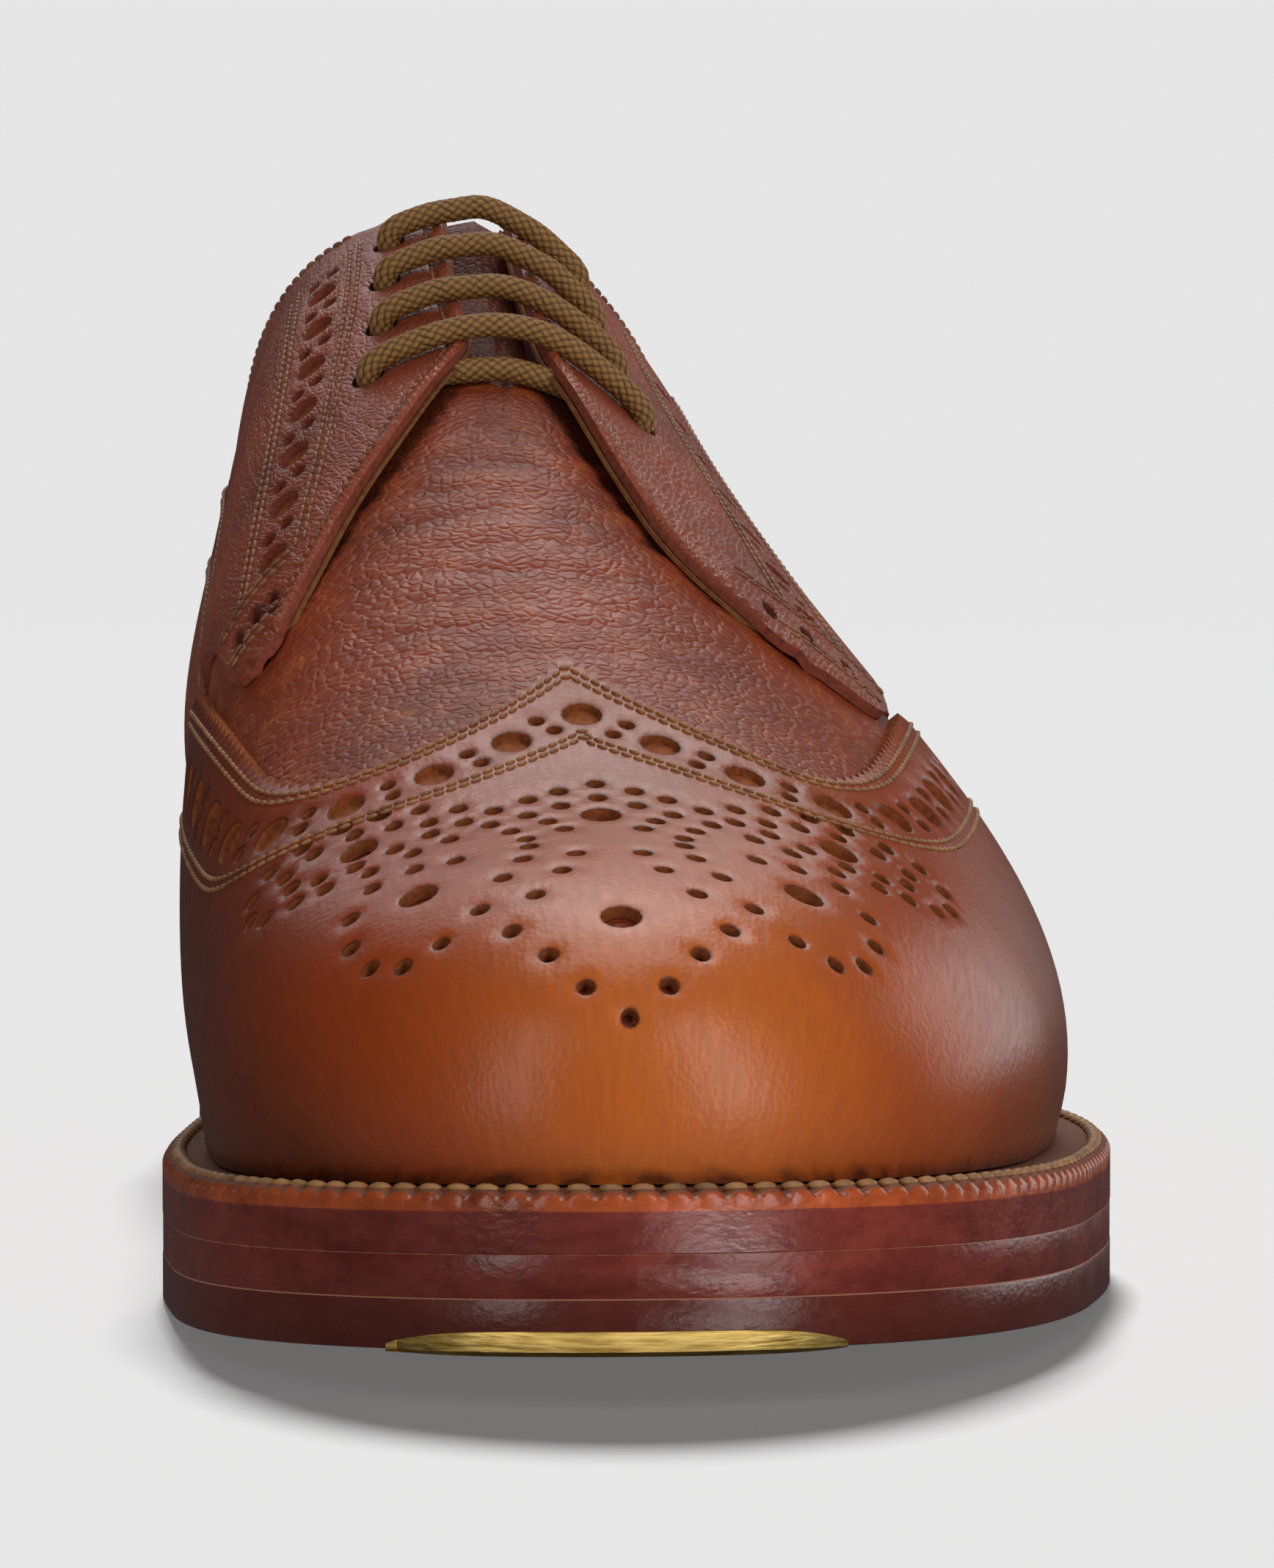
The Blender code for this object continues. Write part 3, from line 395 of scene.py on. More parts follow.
def wall(a, t):
    """Return points of the last: arches over the ridge in front, open walls to the topline behind."""
    a, t = np.broadcast_arrays(np.asarray(a, float), np.asarray(t, float))
    s = station(a)
    cut = np.where(wrap(a) < 0, np.interp(s, *COLLAR_CUT[0]), np.interp(s, *COLLAR_CUT[1]))
    share = smoothstep((s - REAR_START) / (REAR_END - REAR_START))
    points = np.zeros(a.shape + (3,))
    front, rear = share < 1, share > 0
    points[front] = arch(a[front], (t * cut)[front]) * (1 - share[front])[:, None]
    points[rear] += climb(a[rear], t[rear], topline(a[rear]), REAR_SHAPE, 0.0) * share[rear][:, None]
    return points


def top_edge(a):
    """Return points of the ridge in front and of the topline behind it."""
    return wall(a, 1.0)


def normal(a, t, ea=2e-4, et=2e-3):
    """Return outward normals of the last, the ridge's own along the ridge."""
    a, t = np.broadcast_arrays(np.asarray(a, float), np.asarray(t, float))
    inner = np.clip(t, 0.01, 0.985)
    n = np.cross(wall(a + ea, inner) - wall(a - ea, inner), wall(a, inner + et) - wall(a, inner - et))
    st = top_edge(a)[..., 1]
    slope = ridge_slope(st)
    crest = np.stack([0 * slope, -slope, 0 * slope + 1], -1)
    on_ridge = (t > 0.999) & (station(a) < TOP_FRONT)
    n = np.where(on_ridge[..., None], crest, n)
    return n / np.linalg.norm(n, axis=-1, keepdims=True)


def skin(a, t, height):
    """Return points at a height off the last, kept clear of the welt."""
    p = wall(a, t) + normal(a, t) * np.asarray(height, float)[..., None]
    p[..., 2] = np.maximum(p[..., 2], sole_bottom(p[..., 1]) + STACK + SEAT)
    return p


def t_at_distance(a, distance, samples=160):
    """Return t on each line where the wall is a given length away from its top."""
    t = np.linspace(0, 1, samples)
    p = wall(np.asarray(a, float)[:, None], t[None])
    length = np.linalg.norm(np.diff(p, axis=1), axis=-1)
    total = np.concatenate([np.zeros((len(p), 1)), np.cumsum(length[:, ::-1], axis=1)], axis=1)
    return np.array([np.interp(d, row, t[::-1]) for d, row in zip(distance, total)])


def t_at_height(a, height):
    t = np.linspace(0, 1, 160)
    z = wall(np.asarray(a, float)[:, None], t[None])[..., 2]
    return np.array([np.interp(h, row, t) for h, row in zip(height, z)])


def length_to_top(a, t, samples=15):
    """Return the length of the wall from each point to its top."""
    steps = t[..., None] + (1 - t[..., None]) * np.linspace(0, 1, samples)
    p = wall(np.broadcast_to(a[..., None], steps.shape), steps)
    return np.linalg.norm(np.diff(p, axis=-2), axis=-1).sum(-1)


def pattern(a, t):
    """Return the flattened pattern of the last: walls unrolled sideways from the ridge."""
    a, t = np.broadcast_arrays(np.asarray(a, float), np.asarray(t, float))
    top, foot = top_edge(a), feather(a)
    level = (top - foot)[..., :2]
    heading = level / np.linalg.norm(level, axis=-1, keepdims=True)
    return top[..., :2] - heading * length_to_top(a, t)[..., None]


def from_pattern(points, passes=4):
    """Return a and t of points on the flattened pattern."""
    span = np.linspace(-0.66, 0.66, 161)
    height = np.linspace(0, 1, 41)
    grid_a, grid_t = [g.ravel() for g in np.meshgrid(span, height, indexing='ij')]
    flat = pattern(grid_a, grid_t)
    # behind the toe a point starts on its own side of the ridge
    side = np.sign(points[:, 0] - RIDGE_X(points[:, 1])) * (points[:, 1] > RIDGE[0][0] + 3)
    far = (flat ** 2).sum(-1).max()
    best = [np.argmin(((flat - p) ** 2).sum(-1) + far * (grid_a * k < 0)) for p, k in zip(points, side)]
    a, t = grid_a[best], grid_t[best]
    e = 1e-4
    for _ in range(passes):
        miss = points - pattern(a, t)
        low = np.clip(t - e, 0, 1)
        high = np.clip(t + e, 0, 1)
        da = (pattern(a + e, t) - pattern(a - e, t)) / (2 * e)
        dt = (pattern(a, high) - pattern(a, low)) / (high - low)[:, None]
        area = da[:, 0] * dt[:, 1] - da[:, 1] * dt[:, 0]
        area = np.where(np.abs(area) < 1e-6, 1e-6, area)
        step_a = (miss[:, 0] * dt[:, 1] - miss[:, 1] * dt[:, 0]) / area
        step_t = (da[:, 0] * miss[:, 1] - da[:, 1] * miss[:, 0]) / area
        a = a + np.clip(step_a, -0.01, 0.01)
        t = np.clip(t + np.clip(step_t, -0.05, 0.05), 0, 1)
    return a, t


def wing_edge(count):
    """Return pattern points of the wing edge from its medial tail over the ridge to its lateral tail."""
    sides = []
    for side, rows in ((-1, WING_MEDIAL), (1, WING_LATERAL)):
        tail = pattern(loop_at([WING_TAIL], side), [0.02])[0]
        points = [(RIDGE_X(s) + side * d, s) for d, s in rows] + [tail]
        path = np.array(points, float)
        walked = path_lengths(path)
        table = np.column_stack([walked, path])
        u = walked[-1] * np.linspace(0, 1, count)
        sides.append(np.column_stack([spline(table, 1)(u), spline(table, 2)(u)]))
    return np.concatenate([sides[0][:0:-1], sides[1]])


def wing_distance(s, side):
    """Return how far from the ridge the wing edge passes a station behind the tabs."""
    rim = wing_edge(80)
    rim = rim[80:] if side > 0 else rim[:79][::-1]
    rear = rim[np.argmin(rim[:40, 1]):]
    return np.interp(s, rear[:, 1], np.abs(rear[:, 0] - RIDGE_X(rear[:, 1])))


def path_lengths(path):
    """Return the length walked at each point of a path."""
    return np.concatenate([[0], np.cumsum(np.linalg.norm(np.diff(path, axis=0), axis=1))])


def resample(path, pitch, start=0.0):
    """Return points at equal steps along a path of any dimension."""
    walked = path_lengths(path)
    u = np.arange(start, walked[-1], pitch)
    return np.column_stack([np.interp(u, walked, path[:, k]) for k in range(path.shape[1])])


def sizes():
    return bpy.context.scene.brogue_sizes


def looks():
    return bpy.context.scene.brogue_looks


def millimetres(length):
    return length / MM


def linear(colour):
    """Return the linear colour of an sRGB hex value."""
    parts = [int(colour[i:i + 2], 16) / 255 for i in (1, 3, 5)]
    return tuple(c / 12.92 if c <= 0.04045 else ((c + 0.055) / 1.055) ** 2.4 for c in parts) + (1.0,)


def per_metre(length_mm):
    """Return the texture scale whose features are a given number of millimetres apart."""
    return 1.0 / (length_mm * MM)


def set_inputs(tree, node, inputs):
    """Fill a node's inputs with values or hex colours, or link them to sockets or nodes' first outputs."""
    for key, value in inputs.items():
        if isinstance(value, bpy.types.Node):
            value = value.outputs[0]
        if isinstance(value, bpy.types.NodeSocket):
            tree.links.new(value, node.inputs[key])
        else:
            node.inputs[key].default_value = linear(value) if isinstance(value, str) else value


def add_node(tree, kind, inputs, stops=(), **settings):
    """Add a shader node with its settings, its inputs and the stops of its colour ramp."""
    made = tree.nodes.new("ShaderNode" + kind)
    for key, value in settings.items():
        setattr(made, key, value)
    set_inputs(tree, made, inputs)
    if stops:
        elements = made.color_ramp.elements
        while len(elements) < len(stops):
            elements.new(0.5)
        for element, (place, colour) in zip(elements, stops):
            element.position = place
            element.color = linear(colour) if isinstance(colour, str) else colour
    return made


def new_material(name, **shader):
    """Return a material, its node tree and its shader with plain values set on the shader's sockets."""
    material = bpy.data.materials.new(name)
    material.use_nodes = True
    tree = material.node_tree
    principled = tree.nodes["Principled BSDF"]
    set_inputs(tree, principled, {key.replace("_", " "): value for key, value in shader.items()})
    return material, tree, principled


BLACK, WHITE = "#000000", "#FFFFFF"


def burnished_calf():
    """Calf cap, waxed and burnished by hand: orange tan at the tip, dark red at the flanks, glossy. The
    medial flank is painted darker than the lateral one: painted shade.
    """
    material, tree, shader = new_material("burnished calf, waxed", IOR=1.45, Specular_IOR_Level=0.38)
    hide = add_node(tree, "Attribute", {}, attribute_name="lay").outputs["Vector"]
    place = add_node(tree, "SeparateXYZ", {"Vector": hide}).outputs
    cloud = add_node(tree, "TexNoise", {"Vector": hide, "Scale": per_metre(26), "Detail": 4.0},
                     noise_dimensions="2D")
    drift = add_node(tree, "Math", {0: cloud, 1: 0.02, 2: place["Y"]}, operation="MULTIPLY_ADD")
    back = add_node(tree, "MapRange", {"Value": drift, "From Min": 0.02, "From Max": 0.1})
    tone = add_node(tree, "ValToRGB", {"Fac": back},
                    ((0.0, looks().toe_tan), (0.35, looks().toe_cognac), (0.75, looks().cap_brown)))
    off = add_node(tree, "Math", {0: place["X"], 1: TAN_AXIS * MM}, operation="SUBTRACT")
    waver = add_node(tree, "Math", {0: cloud, 1: 0.014, 2: off}, operation="MULTIPLY_ADD")
    width = add_node(tree, "MapRange", {"Value": waver, "From Min": -0.05, "From Max": 0.07})
    red, deep = linear(looks().cap_red)[:3], linear(looks().cap_dark)[:3]
    # dark flanks of the burnish; the medial side darkens sooner and deeper than the lateral side, which is
    # painted shade
    flank = add_node(tree, "ValToRGB", {"Fac": width},
                     ((0.03, deep + (0.9,)), (0.22, red + (0.8,)), (0.44, red + (0.0,)), (0.58, red + (0.0,)),
                      (0.78, red + (0.6,)), (0.98, deep + (0.5,))))
    sided = add_node(tree, "Mix", {0: flank.outputs["Alpha"], 6: tone, 7: flank}, data_type="RGBA")
    streak_at = add_node(tree, "Mapping", {"Vector": hide, "Scale": (1.0, 0.18, 1.0)})
    streak = add_node(tree, "TexNoise", {"Vector": streak_at, "Scale": per_metre(0.9), "Detail": 5.0,
                                         "Roughness": 0.6}, noise_dimensions="2D")
    pale = add_node(tree, "ValToRGB", {"Fac": streak},
                    ((0.3, (0.8, 0.74, 0.7, 1.0)), (0.55, WHITE), (0.75, (1.25, 1.2, 1.1, 1.0))))
    mixed = add_node(tree, "Mix", {0: 0.42, 6: sided.outputs[2], 7: pale}, data_type="RGBA",
                     blend_type="MULTIPLY")
    smudge_at = add_node(tree, "Mapping", {"Vector": hide, "Scale": (0.4, 1.0, 1.0)})
    smudge = add_node(tree, "TexNoise", {"Vector": smudge_at, "Scale": per_metre(3), "Detail": 4.0},
                      noise_dimensions="2D")
    ragged = add_node(tree, "Math", {0: smudge, 1: place["Z"]}, operation="MULTIPLY")
    pores = add_node(tree, "TexVoronoi", {"Vector": hide, "Scale": per_metre(0.7)}, feature="SMOOTH_F1",
                     voronoi_dimensions="2D")
    swell = add_node(tree, "Math", {0: streak, 1: 0.8, 2: pores}, operation="MULTIPLY_ADD")
    bump = add_node(tree, "Bump", {"Height": swell, "Strength": 0.3, "Distance": 0.0001})
    gloss = add_node(tree, "MapRange", {"Value": streak, "From Min": 0.3, "From Max": 0.7, "To Min": 0.36,
                                        "To Max": 0.28})
    worn = worn_by_hand(tree, mixed.outputs[2], ragged)
    set_inputs(tree, shader, {"Base Color": worn, "Normal": bump, "Roughness": gloss})
    return material


def worn_by_hand(tree, colour, wear):
    """Return a leather colour, orange where wear is plus (rubbed edges), dark where minus (punched rims, the
    cap's foot, crease troughs, and painted shade under the facing edges).
    """
    rubbed = add_node(tree, "MapRange", {"Value": wear, "From Min": 0.2, "From Max": 1.0, "To Max": 0.6})
    bare = add_node(tree, "Mix", {0: rubbed, 6: colour, 7: looks().rubbed}, data_type="RGBA")
    darkening = add_node(tree, "MapRange", {"Value": wear, "From Min": -0.3, "From Max": -1.0, "To Max": 0.8})
    # mix in the darkest brown where wear is minus; part of it is painted shade under the facing edges
    waxed = add_node(tree, "Mix", {0: darkening, 6: bare.outputs[2], 7: looks().soil_and_painted_shade}, data_type="RGBA")
    return waxed.outputs[2]


def creased_calf(name, dark, mid, vein_share, grain_mm, shine=0.4):
    """Worn calf: small flat pebbles drawn out crosswise, thin orange cracks between them, a waxy gloss."""
    material, tree, shader = new_material(name, IOR=1.45, Specular_IOR_Level=shine)
    hide = add_node(tree, "Attribute", {}, attribute_name="lay").outputs["Vector"]
    place = add_node(tree, "SeparateXYZ", {"Vector": hide}).outputs
    cloud = add_node(tree, "TexNoise", {"Vector": hide, "Scale": per_metre(20), "Detail": 4.0,
                                        "Roughness": 0.55}, noise_dimensions="2D")
    tone = add_node(tree, "ValToRGB", {"Fac": cloud}, ((0.2, dark), (0.72, mid)))
    warp = add_node(tree, "TexNoise", {"Vector": hide, "Scale": per_metre(5), "Detail": 3.0},
                    noise_dimensions="2D")
    bent = add_node(tree, "VectorMath", {0: warp.outputs["Color"], 1: (0.002, 0.002, 0.0), 2: hide},
                    operation="MULTIPLY_ADD")
    lay = add_node(tree, "Mapping", {"Vector": bent, "Scale": (0.55, 1.0, 1.0)})
    cells = add_node(tree, "TexVoronoi", {"Vector": lay, "Scale": per_metre(grain_mm)},
                     feature="DISTANCE_TO_EDGE", voronoi_dimensions="2D")
    pebble = add_node(tree, "ValToRGB", {"Fac": cells}, ((0.0, BLACK), (0.28, (0.7, 0.7, 0.7, 1.0))))
    crack = add_node(tree, "ValToRGB", {"Fac": cells}, ((0.01, WHITE), (0.08, BLACK)))
    masked = add_node(tree, "ValToRGB", {"Fac": warp}, ((0.42, BLACK), (0.66, WHITE)))
    fold_at = add_node(tree, "Mapping", {"Vector": bent, "Scale": (0.1, 1.0, 1.0)})
    fold = add_node(tree, "TexNoise", {"Vector": fold_at, "Scale": per_metre(1.4), "Detail": 3.0},
                    noise_dimensions="2D")
    thin = add_node(tree, "ValToRGB", {"Fac": fold}, ((0.46, BLACK), (0.49, WHITE), (0.52, BLACK)))
    lines = add_node(tree, "Math", {0: crack, 1: thin}, operation="MAXIMUM")
    share = add_node(tree, "Math", {0: lines, 1: masked}, operation="MULTIPLY")
    part = add_node(tree, "Math", {0: share, 1: vein_share}, operation="MULTIPLY")
    cracked = add_node(tree, "Mix", {0: part, 6: tone, 7: looks().vein}, data_type="RGBA")
    relief = add_node(tree, "Math", {0: fold, 1: 2.4, 2: pebble}, operation="MULTIPLY_ADD")
    bump = add_node(tree, "Bump", {"Height": relief, "Strength": 0.75, "Distance": 0.00015})
    gloss = add_node(tree, "MapRange", {"Value": cloud, "From Min": 0.3, "From Max": 0.7, "To Min": 0.45,
                                        "To Max": 0.35})
    worn = worn_by_hand(tree, cracked.outputs[2], place["Z"])
    set_inputs(tree, shader, {"Base Color": worn, "Normal": bump, "Roughness": gloss})
    return material


def mottled(name, stops, cloud, relief=None, stretch=(1.0, 1.0, 1.0), gloss=None, **values):
    """Return a material clouded between colours, with a fine relief.

    cloud is the size in millimetres, detail and roughness of its clouds, relief the size, detail and strength
    of its bumps, and gloss its roughness in the dark clouds and in the light ones.
    """
    material, tree, shader = new_material(name, **values)
    coords = add_node(tree, "TexCoord", {}).outputs["Object"]
    lay = add_node(tree, "Mapping", {"Vector": coords, "Scale": stretch})
    size, detail, rough = cloud
    clouds = add_node(tree, "TexNoise", {"Vector": lay, "Scale": per_metre(size), "Detail": detail,
                                         "Roughness": rough})
    set_inputs(tree, shader, {"Base Color": add_node(tree, "ValToRGB", {"Fac": clouds}, stops)})
    if relief:
        size, detail, strength = relief
        fine = add_node(tree, "TexNoise", {"Vector": lay, "Scale": per_metre(size), "Detail": detail})
        bump = add_node(tree, "Bump", {"Height": fine, "Strength": strength, "Distance": 0.0002})
        set_inputs(tree, shader, {"Normal": bump})
    if gloss:
        shine = add_node(tree, "MapRange", {"Value": clouds, "From Min": 0.3, "From Max": 0.7,
                                            "To Min": gloss[0], "To Max": gloss[1]})
        set_inputs(tree, shader, {"Roughness": shine})
    return material


def cut_edge(name, dark, light):
    """Cut side of calf: raw orange fibre or inked brown, matt and slightly furry."""
    return mottled(name, ((0.3, dark), (0.65, light)), (0.8, 4.0, 0.5), (0.8, 4.0, 0.4), Roughness=0.8,
                   IOR=1.45)


def raw_edge():
    """Return the undyed side of the cap's calf, shown by its pinked edge and its punched holes."""
    return cut_edge("calf, raw cut edge", looks().edge_dark, looks().edge_tan)


def waxed_thread(name, colour):
    """Waxed linen thread: pale tan, with a dull sheen."""
    dirty = tuple(0.45 * c for c in linear(colour)[:3]) + (1.0,)
    return mottled(name, ((0.3, dirty), (0.6, colour)), (5, 3.0, 0.5), Roughness=0.5, IOR=1.5)


def braided_cord():
    """Round waxed cotton lace: olive bronze strands, with painted highlight on their raised tops and painted
    shade in the gaps, with a dull sheen.
    """
    material, tree, shader = new_material("waxed cotton, braided", Roughness=0.65, IOR=1.4)
    relief = add_node(tree, "Attribute", {}, attribute_name="strand").outputs["Fac"]
    # the strand height picks the colour: painted shade in the gaps, painted highlight on the raised strands
    tone = add_node(tree, "ValToRGB", {"Fac": relief},
                    ((0.15, looks().lace_gap_painted_shade), (0.55, looks().lace_bronze), (0.95, looks().lace_strand_painted_highlight)))
    set_inputs(tree, shader, {"Base Color": tone})
    return material


def dressed_sole_edge(name, dark, warm, gloss=(0.2, 0.34)):
    """Sole leather, trimmed, inked and hot waxed: burgundy with cloudy wear and a soft polish."""
    return mottled(name, ((0.28, dark), (0.72, warm)), (8, 8.0, 0.72), (1.2, 5.0, 0.45), (1.0, 1.0, 1.8),
                   gloss, IOR=1.45)


def lining_leather(name, dark, light):
    """Vegetable tanned lining: plain tan, matt, rubbed darker in patches."""
    return mottled(name, ((0.35, dark), (0.65, light)), (18, 5.0, 0.5), (0.8, 3.0, 0.3), Roughness=0.7,
                   IOR=1.45)


def brushed_brass():
    """Rolled brass, worn and brushed along the floor: warm gold with fine lengthwise scratches."""
    return mottled("brass, worn and brushed", ((0.3, looks().brass_dark), (0.65, looks().brass)),
                   (0.5, 5.0, 0.5), (0.5, 5.0, 0.25), (0.08, 0.3, 1.0), Metallic=1.0, Roughness=0.3)


def heel_rubber():
    """Moulded black rubber of the heel's top piece: matt, faintly dusty."""
    return mottled("rubber, moulded", ((0.4, "#141210"), (0.75, "#2E2822")), (4, 5.0, 0.5), Roughness=0.75)


def add_piece(name, points, faces, finishes, nodes=(), picks=None, sharp=40.0, strand=None,
              lay=None):
    """Make one smooth piece from millimetre points, on the part's body and in place of its CAD nodes.

    strand is the height of a cord's strands, which also sets its painted shade and highlight; lay is the
    place on the flat hide in metres and how far it is rubbed or darkened, the dark partly painted shade.
    """
    if not len(faces):
        raise RuntimeError("no faces were made for " + name)
    mesh = bpy.data.meshes.new(name)
    mesh.from_pydata(((np.asarray(points, float) - SHIFT) * MM).tolist(), [], [tuple(f) for f in faces])
    for finish in finishes:
        mesh.materials.append(finish)
    if picks is not None:
        mesh.polygons.foreach_set("material_index", np.asarray(picks, np.int32))
    layers = (("strand", "FLOAT", "value", strand), ("lay", "FLOAT_VECTOR", "vector", lay))
    for key, kind, field, values in layers:
        if values is not None:
            layer = mesh.attributes.new(key, kind, "POINT")
            layer.data.foreach_set(field, np.ravel(values).astype(np.float32))
    mesh.update()
    piece = bpy.data.objects.new(name, mesh)
    bpy.context.scene.collection.objects.link(piece)
    bpy.ops.object.select_all(action="DESELECT")
    piece.select_set(True)
    bpy.context.view_layer.objects.active = piece
    bpy.ops.object.mode_set(mode="EDIT")
    bpy.ops.mesh.select_all(action="SELECT")
    bpy.ops.mesh.normals_make_consistent(inside=False)
    bpy.ops.object.mode_set(mode="OBJECT")
    bpy.ops.object.shade_smooth_by_angle(angle=math.radians(sharp))
    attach(piece, ROOT)
    if nodes:
        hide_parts(*nodes)
    return piece


def hide_lay(flat, rubbed):
    """Return places on the flat hide in metres, and how far each is rubbed (plus) or darkened (minus), the
    dark partly painted shade.
    """
    return np.column_stack([np.reshape(flat, (-1, 2)) * MM, np.ravel(rubbed)])


def join_grids(outer, inner):
    """Return the points of an outer and an inner grid in one list."""
    return np.concatenate([outer.reshape(-1, 3), inner.reshape(-1, 3)])


def tube_faces(rings, sides):
    """Return faces between closed rings of points."""
    faces = []
    for i in range(rings - 1):
        for k in range(sides):
            after = (k + 1) % sides
            faces.append((i * sides + k, i * sides + after, (i + 1) * sides + after, (i + 1) * sides + k))
    return faces


def grid_faces(rows, columns, start=0, loop=False, flip=False):
    """Return faces of a grid of points whose rows may close to a loop."""
    faces = []
    for i in range(rows if loop else rows - 1):
        j = (i + 1) % rows
        for k in range(columns - 1):
            face = (start + i * columns + k, start + j * columns + k,
                    start + j * columns + k + 1, start + i * columns + k + 1)
            faces.append(face[::-1] if flip else face)
    return faces


def sheet_faces(rows, columns, open_top=None, loop=False):
    """Return faces that join an outer and an inner grid, and how many of them belong to the two grids."""
    count = rows * columns
    faces = grid_faces(rows, columns, 0, loop) + grid_faces(rows, columns, count, loop, True)
    grids = len(faces)
    for i in range(rows if loop else rows - 1):
        j = (i + 1) % rows
        low, high = i * columns, j * columns
        faces.append((high, low, low + count, high + count))
        if open_top is None or open_top[i] or open_top[j]:
            low, high = low + columns - 1, high + columns - 1
            faces.append((low, high, high + count, low + count))
    if not loop:
        for k in range(columns - 1):
            end = (rows - 1) * columns + k
            faces.append((k, k + 1, k + 1 + count, k + count))
            faces.append((end + 1, end, end + count, end + 1 + count))
    return faces, grids


def inside_loop(points, loop, chunk=3000):
    """Return which points lie inside a closed loop."""
    x0, y0 = loop.T
    x1, y1 = np.roll(loop, -1, 0).T
    rise = np.where(y1 == y0, 1e-12, y1 - y0)
    found = []
    for i in range(0, len(points), chunk):
        x, y = points[i:i + chunk, 0, None], points[i:i + chunk, 1, None]
        crossing = ((y0 > y) != (y1 > y)) & (x < x0 + (y - y0) * (x1 - x0) / rise)
        found.append(crossing.sum(1) % 2 == 1)
    return np.concatenate(found)


def clear_of(points, others, gap, chunk=2000):
    """Return which points are at least a gap away from all the others."""
    found = []
    for i in range(0, len(points), chunk):
        d = points[i:i + chunk, None] - others[None]
        found.append((d ** 2).sum(-1).min(1) > gap * gap)
    return np.concatenate(found)


def cut_triangles(flat, loop_counts):
    """Triangulate the first loop of points with the other loops left out as holes."""
    edges = []
    owner = np.full(len(flat), -1)
    start = 0
    for number, count in enumerate(loop_counts):
        edges += [(start + i, start + (i + 1) % count) for i in range(count)]
        owner[start:start + count] = number
        start += count
    found = delaunay_2d_cdt([Vector(p) for p in flat], edges, [], 0, 1e-6)
    source = [ids[0] if ids else -1 for ids in found[3]]
    source = np.array(source)
    tris = source[np.array([f for f in found[2] if len(f) == 3])]
    tris = tris[(tris >= 0).all(1)]
    owners = owner[tris]
    in_hole = (owners[:, 0] > 0) & (owners[:, 0] == owners[:, 1]) & (owners[:, 0] == owners[:, 2])
    tris = tris[~in_hole]
    tris = tris[inside_loop(flat[tris].mean(1), flat[:loop_counts[0]])]
    area = np.cross(flat[tris[:, 1]] - flat[tris[:, 0]], flat[tris[:, 2]] - flat[tris[:, 0]])
    return np.where((area > 0)[:, None], tris, tris[:, ::-1])


def add_cut_sheet(name, a, t, flat, loop_counts, top, bottom, finishes, nodes, rubbed):
    """Make a sheet of leather on the last with pinked borders and punched holes through it."""
    tris = cut_triangles(flat, loop_counts)
    count = len(flat)
    sides = np.concatenate([tris[:, [0, 1]], tris[:, [1, 2]], tris[:, [2, 0]]])
    known = {tuple(side) for side in sides}
    border = np.array([side for side in sides if (side[1], side[0]) not in known])
    walls = np.column_stack([border[:, 1], border[:, 0], border[:, 0] + count, border[:, 1] + count])
    points = np.concatenate([skin(a, t, top), skin(a, t, bottom)])
    faces = [tuple(f) for f in tris] + [tuple(f[::-1] + count) for f in tris] + [tuple(f) for f in walls]
    picks = [0] * (2 * len(tris)) + [1] * len(walls)
    lay = np.tile(hide_lay(flat, rubbed), (2, 1))
    return add_piece(name, points, faces, finishes, nodes, picks, lay=lay)


def add_hole_backing(name, rings, height):
    """Lay a disc of raw leather under each large hole, given as rings of a and t, so it shows orange."""
    a, t = rings
    count, sides = a.shape
    top, bottom = skin(a, t, height(a, t)), skin(a, t, height(a, t) - 0.2)
    points = join_grids(top, bottom)
    faces = []
    for i in range(count):
        ring = [i * sides + k for k in range(sides)]
        under = [count * sides + k for k in ring]
        faces += [tuple(ring), tuple(under[::-1])]
        faces += [(ring[k - 1], ring[k], under[k], under[k - 1]) for k in range(sides)]
    add_piece(name, points, faces, [raw_edge()], ())


def tangents(a, t, e=1e-4):
    """Return how the wall runs along the shoe and up it."""
    low, high = np.clip(t - e, 0, 1), np.clip(t + e, 0, 1)
    along = (wall(a + e, t) - wall(a - e, t)) / (2 * e)
    up = (wall(a, high) - wall(a, low)) / (high - low)[..., None]
    return along, up


def step_on(a, t, move):
    """Return a and t after a small move along the surface."""
    along, up = tangents(a, t)
    aa, au, uu = (along * along).sum(-1), (along * up).sum(-1), (up * up).sum(-1)
    ma, mu = (along * move).sum(-1), (up * move).sum(-1)
    area = aa * uu - au * au
    return a + (uu * ma - au * mu) / area, np.clip(t + (aa * mu - au * ma) / area, 0, 1)


WALK_A = np.linspace(-1.5, 1.5, 1501)
WALK_LENGTH = path_lengths(wall(WALK_A, 0.45))
WALK_LENGTH = WALK_LENGTH - np.interp(0.0, WALK_A, WALK_LENGTH)


def side_flat(a, t, samples=15):
    """Return a flat map of the sides: length along the wall and height up it."""
    steps = t[..., None] * np.linspace(0, 1, samples)
    p = wall(np.broadcast_to(a[..., None], steps.shape), steps)
    up = np.linalg.norm(np.diff(p, axis=-2), axis=-1).sum(-1)
    return np.stack([np.interp(a, WALK_A, WALK_LENGTH), up], -1)


def side_point(flat, samples=100):
    """Return a and t of points on the flat map of the sides."""
    a = np.interp(flat[:, 0], WALK_LENGTH, WALK_A)
    t = np.linspace(0, 1, samples)
    p = wall(a[:, None], t[None])
    steps = np.linalg.norm(np.diff(p, axis=1), axis=-1)
    length = np.concatenate([np.zeros((len(a), 1)), np.cumsum(steps, 1)], 1)
    return a, np.array([np.interp(v, row, t) for v, row in zip(flat[:, 1], length)])


